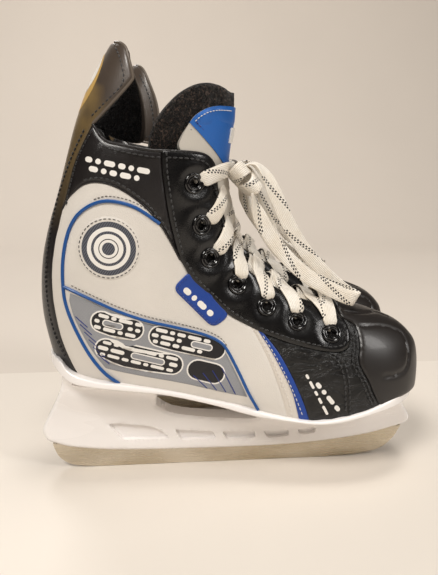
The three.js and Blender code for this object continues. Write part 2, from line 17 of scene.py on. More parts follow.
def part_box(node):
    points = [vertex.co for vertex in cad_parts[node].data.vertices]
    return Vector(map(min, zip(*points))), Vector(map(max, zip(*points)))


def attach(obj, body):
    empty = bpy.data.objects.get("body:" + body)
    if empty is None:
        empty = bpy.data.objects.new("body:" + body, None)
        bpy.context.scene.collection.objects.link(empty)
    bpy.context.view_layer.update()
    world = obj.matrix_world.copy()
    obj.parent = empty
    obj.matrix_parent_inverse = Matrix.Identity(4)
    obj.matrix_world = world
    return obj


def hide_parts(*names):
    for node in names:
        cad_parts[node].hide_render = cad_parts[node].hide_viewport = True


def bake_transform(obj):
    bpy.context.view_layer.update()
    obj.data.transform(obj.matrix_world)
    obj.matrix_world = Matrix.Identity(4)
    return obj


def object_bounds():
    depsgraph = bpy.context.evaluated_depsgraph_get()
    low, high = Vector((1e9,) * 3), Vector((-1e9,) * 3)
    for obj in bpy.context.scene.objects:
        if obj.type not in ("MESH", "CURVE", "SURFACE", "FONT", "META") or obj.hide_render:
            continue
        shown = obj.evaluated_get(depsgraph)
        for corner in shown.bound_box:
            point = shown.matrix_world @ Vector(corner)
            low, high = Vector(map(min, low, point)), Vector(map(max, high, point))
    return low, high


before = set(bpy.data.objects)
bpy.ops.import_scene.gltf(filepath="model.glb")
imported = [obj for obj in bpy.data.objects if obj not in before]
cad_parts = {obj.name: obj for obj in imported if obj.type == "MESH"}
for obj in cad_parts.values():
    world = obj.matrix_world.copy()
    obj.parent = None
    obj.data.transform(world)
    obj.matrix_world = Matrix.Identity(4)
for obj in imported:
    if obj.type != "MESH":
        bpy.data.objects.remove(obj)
cad_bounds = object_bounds()
print("CAD box", [[round(c, 4) for c in corner] for corner in cad_bounds])

# %% [markdown]
# ## Where each skate stands
# In its own frame a skate has its blade on y = 0 and the ice at z = 0, with the toe along +x
# and its outer side at -y. The outsole's box in the frame gives the place of that origin.

# %% The skates' own frames
MM = 0.001
OUTSOLE_HEEL = -112.0
SIDES = {"right": 1.0, "left": -1.0}


def skate_origin(side):
    low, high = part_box(f"{side}_outsole")
    return np.array([low[0] - OUTSOLE_HEEL * MM, (low[1] + high[1]) / 2, 0.0])


ORIGINS = {side: skate_origin(side) for side in SIDES}
print("skate origins", {side: origin.round(4).tolist() for side, origin in ORIGINS.items()})


def to_frame(points, side):
    scaled = np.asarray(points, float) * MM * np.array([1.0, SIDES[side], 1.0])
    return scaled + ORIGINS[side]


# %% [markdown]
# ## Shapes
# A shape is a set of points in millimetres, faces, and a flat coordinate for each point that
# the printed and woven finishes use. `place` turns a shape into a Blender object on each skate.

# %% Shapes and how they are placed
class Shape:
    def __init__(self, points, faces, flat=None):
        self.points = np.asarray(points, float)
        self.faces = [tuple(int(i) for i in face) for face in faces]
        self.flat = self.points[:, [0, 2]] if flat is None else np.asarray(flat, float)


def joined(shapes):
    points, faces, flat, start = [], [], [], 0
    for shape in shapes:
        points.append(shape.points)
        flat.append(shape.flat)
        faces += [tuple(i + start for i in face) for face in shape.faces]
        start += len(shape.points)
    return Shape(np.vstack(points), faces, np.vstack(flat))


def other_side(shape):
    mirrored = shape.points * np.array([1.0, -1.0, 1.0])
    return Shape(mirrored, [face[::-1] for face in shape.faces], shape.flat)


def both_flanks(shape):
    return joined([shape, other_side(shape)])


def new_object(name, data):
    obj = bpy.data.objects.new(name, data)
    bpy.context.scene.collection.objects.link(obj)
    return obj


def add_object(name, shape, side, finish, crease=35.0):
    mesh = bpy.data.meshes.new(name)
    flip = SIDES[side] < 0
    faces = [face[::-1] for face in shape.faces] if flip else shape.faces
    mesh.from_pydata(to_frame(shape.points, side).tolist(), [], faces)
    layer = mesh.uv_layers.new(name="flat")
    corners = np.array([loop.vertex_index for loop in mesh.loops])
    layer.data.foreach_set("uv", shape.flat[corners].astype(np.float32).ravel())
    mesh.shade_smooth()
    mesh.set_sharp_from_angle(angle=math.radians(crease))
    mesh.materials.append(finish)
    return new_object(name, mesh)


def place(name, shape, finish, slot, part="skate", stands_for=(), crease=35.0, bend=None):
    objects = []
    for side in SIDES:
        obj = add_object(f"{side}_{name}_piece", shape, side, finish, crease)
        if bend is None:
            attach(obj, f"{side}_{part}")
        else:
            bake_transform(obj)
        if stands_for:
            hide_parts(*[f"{side}_{node}" for node in stands_for])
        objects.append(obj)
    print(f"{name}: {len(shape.points)} points, {len(shape.faces)} faces")
    return objects


# %% [markdown]
# ## The boot's surface
# A boot is a foot's shape with a bend in it, so its sections fan out from the toe, round the
# instep, to the top of the tendon guard. Each section is a squarish ellipse between a point on
# the bottom or back and a point on the top or front. Everything on the boot is placed with
# two coordinates: t from the toe to the top, and the angle round the section.

# %% Sections of the boot
# [x, z of the bottom or back, x, z of the top or front, half width, where it is widest]
SECTIONS = np.array([
    [115, 61, 115, 61, 0, 0.4],
    [113.5, 48, 114, 77, 10, 0.42],
    [109, 38, 110, 84, 18.5, 0.38],
    [101, 31, 102, 91, 26.5, 0.34],
    [90, 26, 90, 96.5, 32.5, 0.32],
    [76, 23, 74, 102, 36, 0.3],
    [60, 20, 59, 106.5, 37, 0.28],
    [42, 20, 44, 113, 35.5, 0.28],
    [22, 24, 31, 120, 33, 0.29],
    [0, 30, 21, 126.5, 31, 0.32],
    [-25, 36, 14, 133, 29.5, 0.36],
    [-52, 41, 8.5, 139, 29.5, 0.4],
    [-78, 46, 4.5, 145, 30, 0.43],
    [-97, 54, 2, 151, 30.5, 0.45],
    [-108, 70, 0, 158, 31, 0.46],
    [-113, 92, -1.5, 165, 31.5, 0.47],
    [-115, 114, -3, 172.5, 32, 0.48],
    [-113.5, 134, -4, 181, 32, 0.49],
    [-109, 153, -4, 190, 31.5, 0.5],
    [-102.5, 173, -3, 199, 31, 0.5],
    [-96.5, 194, -1.5, 209, 30.5, 0.5],
    [-90.5, 214, -0.5, 219, 30, 0.5],
    [-82.5, 233, 0, 229, 29, 0.5],
    [-72, 251, 0, 239, 28, 0.5],
    [-64, 262, 0, 248, 27, 0.5],
])
SQUARENESS = 2.3
FRONT = math.pi
print(f"{len(SECTIONS)} sections, {2 * SECTIONS[:, 4].max():.0f} mm across at the widest")

# %% [markdown]
# A smooth curve has to pass through every number of such a list. A Catmull-Rom spline does,
# and its slopes come from the neighbouring numbers.

# %% A smooth curve through a list
def spline(values, t):
    values = np.asarray(values, float)
    last = len(values) - 1
    u = np.clip(np.asarray(t, float), 0, 1) * last
    i = np.minimum(u.astype(int), last - 1)
    f = (u - i)[..., None]
    ends = [2 * values[:1] - values[1:2], values, 2 * values[-1:] - values[-2:-1]]
    ext = np.vstack(ends)
    before, here, there, after = ext[i], ext[i + 1], ext[i + 2], ext[i + 3]
    rise = here * (2 * f**3 - 3 * f**2 + 1) + there * (3 * f**2 - 2 * f**3)
    slopes = (there - before) / 2 * (f**3 - 2 * f**2 + f) + (after - here) / 2 * (f**3 - f**2)
    return rise + slopes


def full_turn(count):
    return np.linspace(0, 2 * math.pi, count, endpoint=False)


def smooth_step(low, high, value):
    share = np.clip((value - low) / (high - low), 0, 1)
    return share * share * (3 - 2 * share)


print("half way from toe to top:", spline(SECTIONS, [0.5])[0].round(1).tolist())

# %% [markdown]
# The normal at a point comes from two small steps along the surface. Leather, thread and laces
# all stand a given height along it.

# %% Points and normals on the boot
def boot_point(t, angle):
    section = spline(SECTIONS, t)
    cosine = np.cos(angle)
    reach = np.abs(cosine) ** (2 / SQUARENESS)
    widest = section[..., 5]
    share = np.where(cosine > 0, widest * (1 - reach), widest + (1 - widest) * reach)
    bulge = np.abs(np.sin(angle)) ** (2 / SQUARENESS)
    x = section[..., 0] + (section[..., 2] - section[..., 0]) * share
    y = -np.sign(np.sin(angle)) * section[..., 4] * bulge
    z = section[..., 1] + (section[..., 3] - section[..., 1]) * share
    return np.stack([x, y, z], -1)


def boot_normal(t, angle):
    step, turn = 0.003, 0.03
    t_low = np.maximum(t - step, 0.0005)
    lengthwise = boot_point(np.minimum(t_low + 2 * step, 1), angle) - boot_point(t_low, angle)
    around = boot_point(t, angle + turn) - boot_point(t, angle - turn)
    normal = np.cross(around, lengthwise)
    return normal / np.maximum(np.linalg.norm(normal, axis=-1, keepdims=True), 1e-9)


def skin(t, angle, offset=0.0):
    t, angle = np.asarray(t, float), np.asarray(angle, float)
    offset = np.asarray(offset, float)[..., None]
    return boot_point(t, angle) + boot_normal(t, angle) * offset


print("a spot on the outer ankle:", skin([0.6], [1.6])[0].round(1).tolist())

# %% [markdown]
# Seams are drawn as side views, because that is how a pattern is laid on a boot. `on_boot`
# finds the surface coordinates of side-view points on the outer flank: it starts from the
# nearest point of a coarse net and closes in with Newton steps.

# %% From a side view to the surface
NET_T, NET_ANGLE = np.meshgrid(np.linspace(0, 1, 260), np.linspace(0.02, FRONT - 0.02, 90))
NET = boot_point(NET_T.ravel(), NET_ANGLE.ravel())[:, [0, 2]]


def on_boot(side_view):
    target = np.asarray(side_view, float)
    nearest = [np.argmin(((NET - point) ** 2).sum(1)) for point in target]
    t, angle = NET_T.ravel()[nearest], NET_ANGLE.ravel()[nearest]
    for _ in range(6):
        here = boot_point(t, angle)[:, [0, 2]]
        by_t = (boot_point(t + 0.001, angle)[:, [0, 2]] - here) / 0.001
        by_angle = (boot_point(t, angle + 0.002)[:, [0, 2]] - here) / 0.002
        cross = by_t[:, 0] * by_angle[:, 1] - by_t[:, 1] * by_angle[:, 0]
        cross = np.where(np.abs(cross) < 1.0, 1.0, cross)
        miss = target - here
        dt = (miss[:, 0] * by_angle[:, 1] - miss[:, 1] * by_angle[:, 0]) / cross
        da = (by_t[:, 0] * miss[:, 1] - by_t[:, 1] * miss[:, 0]) / cross
        t = np.clip(t + np.clip(dt, -0.02, 0.02), 0.001, 1)
        angle = np.clip(angle + np.clip(da, -0.1, 0.1), 0, FRONT)
    return np.stack([t, angle], 1)


def stroke(points, step=1.6):
    points = np.asarray(points, float)
    length = np.linalg.norm(np.diff(points, axis=0), axis=1).sum()
    count = max(2, int(length / step) + 1)
    dense = spline(points, np.linspace(0, 1, 12 * count))
    run = np.concatenate([[0], np.cumsum(np.linalg.norm(np.diff(dense, axis=0), axis=1))])
    even = np.linspace(0, run[-1], count)
    return np.stack([np.interp(even, run, dense[:, k]) for k in range(dense.shape[1])], 1)


print("side view (-40, 120) lies at t and angle", on_boot([[-40, 120]])[0].round(3).tolist())

# %% [markdown]
# ## Panels
# A leather panel is a thin curved sheet with a turned edge. `panel` fills an outline, given in
# surface coordinates, with even triangles, lifts them off the boot, rounds the edge down and
# closes the back, so that each panel is a solid piece with its own thickness.

# %% Filling an outline with even triangles
T_SCALE, ANGLE_SCALE = 260.0, 33.0


def inside(points, polygon):
    hit = np.zeros(len(points), bool)
    x, y = points[:, 0], points[:, 1]
    for (x0, y0), (x1, y1) in zip(polygon, np.roll(polygon, -1, 0)):
        crosses = (y0 > y) != (y1 > y)
        slope = (x1 - x0) / np.where(y1 == y0, 1e-12, y1 - y0)
        hit ^= crosses & (x < x0 + (y - y0) * slope)
    return hit


def distance_to(points, targets):
    best = np.full(len(points), np.inf)
    for start in range(0, len(targets), 200):
        chunk = targets[start : start + 200]
        gap = ((points[:, None, :] - chunk[None]) ** 2).sum(-1).min(1)
        best = np.minimum(best, gap)
    return np.sqrt(best)


def inner_ring(polygon, depth):
    forward = np.roll(polygon, -1, 0) - np.roll(polygon, 1, 0)
    normal = np.stack([-forward[:, 1], forward[:, 0]], 1)
    normal /= np.maximum(np.linalg.norm(normal, axis=1, keepdims=True), 1e-9)
    area = (polygon[:, 0] * np.roll(polygon[:, 1], -1) - np.roll(polygon[:, 0], -1) * polygon[:, 1]).sum()
    ring = polygon + normal * depth * np.sign(area)
    keep = inside(ring, polygon) & (distance_to(ring, polygon) > 0.8 * depth)
    return ring[keep]


def closed_edges(start, count):
    return [(start + i, start + (i + 1) % count) for i in range(count)]


def triangulated(points, edges):
    done = delaunay_2d_cdt([Vector(p) for p in points], edges, [], 0, 1e-5)
    return np.array([tuple(v) for v in done[0]]), np.array([tuple(face) for face in done[2]])


def filled(polygon, spacing, rings=(0.45, 1.1)):
    polygon = np.asarray(polygon, float)
    low, high = polygon.min(0), polygon.max(0)
    xs = np.arange(low[0], high[0], spacing)
    ys = np.arange(low[1], high[1], spacing * 0.87)
    grid = np.array([(x + (j % 2) * spacing / 2, y) for j, y in enumerate(ys) for x in xs])
    keep = inside(grid, polygon) & (distance_to(grid, polygon) > 0.75 * spacing)
    loose = [grid[keep], *[inner_ring(polygon, depth) for depth in rings]]
    vertices, triangles = triangulated(np.vstack([polygon, *loose]), closed_edges(0, len(polygon)))
    return vertices, triangles[inside(vertices[triangles].mean(1), polygon)]


SWATCH = np.array([[0.0, 0.0], [20.0, 0.0], [20.0, 20.0], [0.0, 20.0]])
print(f"a 20 mm square takes {len(filled(SWATCH, 2.2)[1])} triangles")

# %% [markdown]
# A sheet of triangles has one side. A second sheet below it and a wall round the rim make it a
# closed body, and each triangle is turned so that the body's faces all look outwards.

# %% Closing a sheet into a solid
def rim_edges(triangles):
    edges = {}
    for a, b, c in triangles:
        for edge in ((a, b), (b, c), (c, a)):
            edges[edge] = True
    return [edge for edge in edges if (edge[1], edge[0]) not in edges]


def turned_out(triangles, surface, outward):
    """The same triangles, each turned so that it faces the way its first point's vector does."""
    first, second, third = surface[triangles].transpose(1, 0, 2)
    inward = (np.cross(second - first, third - first) * outward[triangles[:, 0]]).sum(1) < 0
    return np.where(inward[:, None], triangles[:, ::-1], triangles)


def closed_sheet(top, bottom, triangles, flat):
    count = len(top)
    faces = [tuple(face) for face in triangles]
    faces += [(c + count, b + count, a + count) for a, b, c in triangles]
    faces += [(b, a, a + count, b + count) for a, b in rim_edges(triangles)]
    used = np.unique(np.array([i for face in faces for i in face]))
    renumber = np.zeros(2 * count, int)
    renumber[used] = np.arange(len(used))
    points = np.vstack([top, bottom])[used]
    return Shape(points, [tuple(renumber[list(face)]) for face in faces], np.vstack([flat, flat])[used])


print("open edges of two triangles that share one:", len(rim_edges([(0, 1, 2), (0, 2, 3)])))

# %% [markdown]
# A panel is filled on a flat map where both coordinates are near to millimetres. Its edge is
# rolled down, and a relief may lift the leather.

# %% A panel on the boot
def panel(polygon, offset=0.0, thickness=1.2, spacing=2.2, roll=0.5, roll_width=1.2, relief=None,
          holes=()):
    scale = np.array([T_SCALE, ANGLE_SCALE])
    vertices, triangles = filled(np.asarray(polygon) * scale, spacing)
    t, angle = (vertices / scale).T
    base = skin(t, angle, offset)
    edge = distance_to(base, skin(*np.asarray(polygon).T, offset))
    turn = roll * (1 - np.clip(edge / roll_width, 0, 1)) ** 2
    lift = np.zeros(len(base)) if relief is None else relief(base, t, angle)
    top = skin(t, angle, offset + lift - turn)
    if len(holes):
        middles = base[triangles].mean(1)
        for centre, radius in holes:
            triangles = triangles[np.linalg.norm(middles - centre, axis=1) > radius]
            middles = base[triangles].mean(1)
    triangles = turned_out(triangles, top, boot_normal(t, angle))
    return closed_sheet(top, skin(t, angle, offset - thickness), triangles, base[:, [0, 2]])


swatch = panel(SWATCH / [T_SCALE, ANGLE_SCALE] + [0.5, 1.2])
print(f"a swatch of leather is a body of {len(swatch.faces)} faces")

# %% [markdown]
# ## Camera
# The camera comes first, so that every finish can be judged from where it will be seen. It
# stands a little above the skates, near the boots' ankles, and looks slightly down and to the
# right, which shows an outer side and both tongues.

# %% Camera
CAMERA_PLACE = (-0.0482, -0.4373, 0.1937)
CAMERA_YAW = math.radians(5.3)
CAMERA_DOWN = math.radians(11.5)

camera_data = bpy.data.cameras.new("camera")
camera_data.lens = 41.0
camera = new_object("camera", camera_data)
camera.location = CAMERA_PLACE
camera.rotation_euler = (math.pi / 2 - CAMERA_DOWN, 0.0, -CAMERA_YAW)
bpy.context.scene.camera = camera
print("camera at", CAMERA_PLACE)

# %% [markdown]
# ## Finishes
# Every finish is made of nodes. `Finish` keeps the wiring short: each method adds one node and
# gives back its output.

# %% Wiring nodes
class Finish:
    def __init__(self, name, colour=(0.8, 0.8, 0.8), roughness=0.5, **values):
        self.material = bpy.data.materials.new(name)
        self.material.use_nodes = True
        self.tree = self.material.node_tree
        self.shader = self.tree.nodes["Principled BSDF"]
        self.set(base_color=(*colour, 1.0), roughness=roughness, **values)
        self.place = self.node("ShaderNodeTexCoord").outputs["Object"]

    def feed(self, socket, value):
        if isinstance(value, bpy.types.NodeSocket):
            self.tree.links.new(value, socket)
        else:
            socket.default_value = value

    def set(self, **values):
        for key, value in values.items():
            label = key.replace("_", " ").title().replace("Ior", "IOR")
            self.feed(self.shader.inputs[label], value)
        return self.material

    def node(self, kind, inputs=None, **settings):
        node = self.tree.nodes.new(kind)
        for key, value in settings.items():
            setattr(node, key, value)
        for key, value in (inputs or {}).items():
            self.feed(node.inputs[key], value)
        return node

    def stretched(self, scale):
        inputs = {"Vector": self.place, "Scale": scale}
        return self.node("ShaderNodeMapping", inputs).outputs["Vector"]

    def flat(self):
        flat = self.node("ShaderNodeUVMap", uv_map="flat").outputs["UV"]
        parts = self.node("ShaderNodeSeparateXYZ", {"Vector": flat})
        return parts.outputs["X"], parts.outputs["Y"]

    def noise(self, scale, detail=3.0, rough=0.55, vector=None, distortion=0.0):
        inputs = {"Vector": vector or self.place, "Scale": scale, "Detail": detail,
                  "Roughness": rough, "Distortion": distortion}
        return self.node("ShaderNodeTexNoise", inputs).outputs["Fac"]

    def cells(self, scale):
        inputs = {"Vector": self.place, "Scale": scale, "Randomness": 1.0}
        node = self.node("ShaderNodeTexVoronoi", inputs, feature="DISTANCE_TO_EDGE")
        return node.outputs["Distance"]

    def range(self, value, low, high, to_low=0.0, to_high=1.0):
        inputs = {"Value": value, "From Min": low, "From Max": high, "To Min": to_low,
                  "To Max": to_high}
        return self.node("ShaderNodeMapRange", inputs).outputs["Result"]

    def math(self, operation, *values):
        node = self.node("ShaderNodeMath", operation=operation)
        for socket, value in zip(node.inputs, values):
            self.feed(socket, value)
        return node.outputs["Value"]

    def mix(self, factor, first, second):
        node = self.node("ShaderNodeMix", data_type="RGBA")
        for name, value in (("Factor", factor), ("A", first), ("B", second)):
            kind = "VALUE" if name == "Factor" else "RGBA"
            socket = next(s for s in node.inputs if s.name == name and s.type == kind)
            self.feed(socket, (*value, 1.0) if isinstance(value, tuple) else value)
        return next(s for s in node.outputs if s.type == "RGBA")

    def bump(self, height, distance, strength=1.0, under=None):
        inputs = {"Height": height, "Distance": distance, "Strength": strength}
        if under is not None:
            inputs["Normal"] = under
        return self.node("ShaderNodeBump", inputs).outputs["Normal"]


def rgb(red, green, blue):
    """A colour as a screen shows it, from 0 to 255, made linear for the shader."""
    def linear(value):
        share = value / 255
        return share / 12.92 if share <= 0.04045 else ((share + 0.055) / 1.055) ** 2.4
    return tuple(linear(value) for value in (red, green, blue))


print("middle grey in linear light:", round(rgb(128, 128, 128)[0], 3))

# %% [markdown]
# Leatherette is a plastic film embossed with a pebble grain. Its grain is a net of cells under a
# millimetre wide, its gloss varies a little where hands have rubbed it, and its colour is nearly
# even. The same recipe at different grain, gloss and tint makes every leather on the boot.

# %% Leatherette
def leather(name, colour, roughness, grain=1100.0, depth=0.00012, wrinkle=0.0, tint=0.10, coat=0.0,
            specular=0.5):
    finish = Finish(name, colour, roughness, coat_weight=coat, coat_roughness=0.18,
                    specular_ior_level=specular)
    warped = finish.noise(grain * 0.6, 2.0)
    pebble = finish.range(finish.cells(grain), 0.0, 0.28)
    fine = finish.noise(grain * 2.5, 2.0)
    height = finish.math("ADD", pebble, finish.math("MULTIPLY", fine, 0.5))
    normal = finish.bump(height, depth, 0.7)
    if wrinkle:
        crease = finish.noise(75.0, 5.0, 0.62, finish.stretched((0.55, 1.0, 1.25)), 0.8)
        folded = finish.math("ABSOLUTE", finish.math("SUBTRACT", crease, 0.5))
        normal = finish.bump(finish.range(folded, 0.0, 0.09), wrinkle, 0.9, normal)
    cloudy = finish.range(finish.noise(22.0, 4.0), 0.3, 0.7, 1 - tint, 1 + tint)
    shade = finish.node("ShaderNodeHueSaturation", {"Value": cloudy, "Color": (*colour, 1.0)})
    worn = finish.range(finish.noise(60.0, 4.0), 0.3, 0.75, roughness * 0.85, roughness * 1.3)
    rubbed = finish.math("ADD", worn, finish.math("MULTIPLY", warped, 0.05))
    return finish.set(base_color=shade.outputs["Color"], roughness=rubbed, normal=normal)


GREY_LEATHER = leather("grey leatherette", rgb(215, 209, 201), 0.46, 900.0, 0.00007, tint=0.05)
PALE_LEATHER = leather("pale leatherette", rgb(214, 206, 196), 0.44, 900.0, 0.00006, tint=0.05)
BLACK_FACING = leather("black gloss leatherette", rgb(9, 8, 9), 0.24, 1000.0, 0.00004, tint=0.15,
                       coat=0.25, specular=0.4)
BLACK_VAMP = leather("black creased leatherette", rgb(11, 10, 10), 0.32, 1000.0, 0.00006,
                     wrinkle=0.00035, tint=0.15, coat=0.1)
DARK_COLLAR = leather("dark brown leatherette", rgb(24, 20, 20), 0.3, 950.0, 0.00007, tint=0.12,
                      coat=0.2)
BLUE_LEATHER = leather("blue leatherette", rgb(22, 62, 144), 0.4, 1000.0, 0.00006, tint=0.08)
PIPING_BLUE = leather("piping blue", rgb(12, 74, 140), 0.34, 1200.0, 0.00004, tint=0.06)
BADGE_BLUE = leather("bright blue leatherette", rgb(30, 96, 176), 0.36, 1000.0, 0.00005, tint=0.06)
SILVER = leather("silver leatherette", rgb(196, 190, 180), 0.38, 1200.0, 0.00004, tint=0.05)
print("leathers made")


# %% [markdown]
# The tendon guard is coated fabric with a metallic ink that fades from grey at its front edge to
# a dull gold near its back, so its colour follows the height and depth on the boot. The gold at the
# back is also a painted highlight, where the guard turns away at its silhouette.

# %% Guard coating
def guard_ink_and_highlight():
    finish = Finish("shaded guard coating", rgb(92, 86, 80), 0.34, coat_weight=0.2,
                    coat_roughness=0.15)
    x, z = finish.flat()
    back = finish.range(x, -62.0, -92.0)
    wavy = finish.math("ADD", back, finish.range(finish.noise(45.0, 2.0), 0.3, 0.7, -0.25, 0.25))
    # The gold towards the back is gold ink and a painted highlight along the guard's silhouette.
    gold = finish.range(wavy, 0.35, 0.75)
    colour = finish.mix(gold, rgb(72, 62, 54), rgb(140, 116, 72))
    low = finish.range(z, 236.0, 204.0, 0.0, 0.6)
    colour = finish.mix(low, colour, rgb(40, 34, 30))
    heel = finish.range(z, 196.0, 150.0)
    colour = finish.mix(heel, colour, rgb(20, 17, 17))
    grain = finish.range(finish.cells(1100.0), 0.0, 0.3)
    return finish.set(base_color=colour, normal=finish.bump(grain, 0.00006, 0.6))


GUARD_INK_AND_HIGHLIGHT = guard_ink_and_highlight()
GUARD_TRIM = leather("guard edge binding", rgb(96, 86, 76), 0.34, 1200.0, 0.00004, tint=0.08)
print("guard coating made")

# %% [markdown]
# Felt and fleece are tangled fibres with paler flecks. Real hairs would cost millions of
# faces, so two layers of noise stand for tufts and tangle.

# %% Felt and fleece
def felt(name, colour, fleck):
    finish = Finish(name, colour, 0.96, sheen_weight=0.25, sheen_roughness=0.4,
                    specular_ior_level=0.1)
    tangled = finish.noise(520.0, 6.0, 0.75, None, 2.0)
    tufts = finish.noise(260.0, 5.0, 0.65, None, 1.0)
    hairs = finish.noise(900.0, 3.0, 0.8, finish.stretched((1.0, 0.6, 0.8)), 0.8)
    fibre = finish.range(hairs, 0.54, 0.66)
    colour_mix = finish.mix(finish.math("MULTIPLY", fibre, 0.8), colour, fleck)
    normal = finish.bump(tufts, 0.003, 1.0, finish.bump(tangled, 0.0015, 1.0))
    return finish.set(base_color=colour_mix, normal=normal)


FELT = felt("black felt", rgb(9, 8, 8), rgb(128, 108, 96))
FLEECE = felt("black fleece", rgb(8, 7, 7), rgb(66, 56, 50))
print("felts made")

# %% [markdown]
# Moulded plastic is smooth, with a faint flow along the part and fine scuffs. Ground steel is
# brushed lengthwise, so its highlights are drawn out across the grind.

# %% Plastic and steel
def moulded(name, colour, roughness, coat=0.0):
    finish = Finish(name, colour, roughness, coat_weight=coat, coat_roughness=0.08)
    flow = finish.noise(30.0, 3.0, 0.5, finish.stretched((0.35, 1.0, 1.0)))
    speck = finish.noise(2200.0, 2.0)
    scratches = finish.noise(240.0, 5.0, 0.7, finish.stretched((0.12, 1.0, 1.0)))
    scuff = finish.range(scratches, 0.62, 0.75)
    rough = finish.math("ADD", finish.range(flow, 0.3, 0.7, roughness * 0.85, roughness * 1.2),
                        finish.math("MULTIPLY", scuff, 0.14))
    ripple = finish.bump(flow, 0.0005, 0.35, finish.bump(speck, 0.00002, 0.6))
    return finish.set(roughness=rough, normal=ripple)


def steel():
    finish = Finish("ground steel", rgb(206, 198, 184), 0.24, metallic=1.0, anisotropic=0.55)
    brushed = finish.noise(900.0, 3.0, 0.6, finish.stretched((0.035, 1.0, 1.0)))
    smear = finish.noise(45.0, 3.0, 0.5, finish.stretched((0.4, 1.0, 1.0)))
    rough = finish.math("ADD", finish.range(brushed, 0.3, 0.7, 0.17, 0.34),
                        finish.range(smear, 0.35, 0.7, -0.03, 0.06))
    colour = finish.mix(finish.range(smear, 0.3, 0.75), rgb(214, 206, 192), rgb(172, 158, 132))
    return finish.set(base_color=colour, roughness=rough, normal=finish.bump(brushed, 0.00003, 0.5))


WHITE_PLASTIC = moulded("white moulded plastic", rgb(244, 240, 238), 0.24, 0.3)
CAP_PLASTIC = moulded("black toe plastic", rgb(30, 26, 24), 0.36, 0.08)
STEEL = steel()
print("plastics and steel made")

# %% [markdown]
# Ink is a thin film that shows the grain below it, lacquer is glossy with a slight peel, and
# thread is twisted, so it has bumps.

# %% Ink, lacquer and thread
def ink(name, colour, roughness=0.5):
    finish = Finish(name, colour, roughness)
    film = finish.noise(500.0, 3.0)
    return finish.set(roughness=finish.range(film, 0.3, 0.7, roughness * 0.8, roughness * 1.2),
                      normal=finish.bump(finish.cells(1000.0), 0.00005, 0.5))


def lacquer(name, colour):
    finish = Finish(name, colour, 0.16, metallic=0.35, coat_weight=0.8, coat_roughness=0.06)
    peel = finish.noise(520.0, 2.0)
    return finish.set(roughness=finish.range(peel, 0.3, 0.7, 0.12, 0.24),
                      normal=finish.bump(peel, 0.00006, 0.5))


def thread(name, colour):
    finish = Finish(name, colour, 0.6, sheen_weight=0.3)
    twist = finish.noise(2600.0, 2.0, 0.5, finish.stretched((0.5, 1.0, 0.5)))
    return finish.set(normal=finish.bump(twist, 0.0001, 0.8))


GOLD_INK = ink("gold ink", rgb(196, 160, 92), 0.4)
WHITE_INK = ink("white ink", rgb(232, 228, 222))
BLACK_INK = ink("black ink", rgb(22, 20, 24), 0.42)
BLUE_INK = ink("dark blue ink", rgb(34, 48, 120), 0.45)
ENAMEL = lacquer("black eyelet lacquer", rgb(14, 13, 15))
BLACK_THREAD = thread("black thread", rgb(17, 16, 18))
GREY_THREAD = thread("grey thread", rgb(96, 88, 80))
WHITE_THREAD = thread("white thread", rgb(214, 208, 200))
BLUE_THREAD = thread("blue thread", rgb(20, 48, 128))
print("inks, lacquer and threads made")

# %% [markdown]
# Printed panels carry fine patterns. The grey panel is woven mesh cloth: threads a little over
# half a millimetre apart, dark in the gaps. The patch with rings has hatched bands.

# %% Mesh cloth and hatched print
MESH_PITCH = 0.8


def mesh_cloth():
    finish = Finish("grey mesh cloth", rgb(150, 152, 156), 0.72)
    threads = []
    for axis in finish.flat():
        turns = finish.math("MULTIPLY", axis, 2 * math.pi / MESH_PITCH)
        threads.append(finish.math("SINE", turns))
    weave = finish.math("MULTIPLY", *threads)
    lit = finish.range(weave, -0.6, 0.6)
    colour = finish.mix(lit, rgb(128, 130, 136), rgb(176, 176, 178))
    return finish.set(base_color=colour, normal=finish.bump(weave, 0.00016, 0.8))


def hatched(name, dark, pale, pitch=0.9, share=0.35):
    finish = Finish(name, dark, 0.5)
    x, z = finish.flat()
    slant = finish.math("ADD", x, finish.math("MULTIPLY", z, 0.4))
    wave = finish.math("SINE", finish.math("MULTIPLY", slant, 2 * math.pi / pitch))
    colour = finish.mix(finish.range(wave, 1 - 2 * share - 0.3, 1 - 2 * share + 0.3), dark, pale)
    return finish.set(base_color=colour, normal=finish.bump(finish.cells(1000.0), 0.00004, 0.5))


MESH_CLOTH = mesh_cloth()
HATCHED = hatched("hatched print", rgb(26, 30, 44), rgb(120, 122, 130), share=0.25)
print("printed cloths made")


# %% [markdown]
# The laces are flat woven cotton, nearly nine millimetres wide. Rows of fine chevrons run along them,
# and a tracer of small black squares, two side by side and set off from each other, crosses
# them on a slant every few centimetres. The first flat coordinate runs along the lace.

# %% Woven lace
LACE_WIDTH = 8.8
LACE_THICK = 1.3
TRACER_EVERY = 34.0


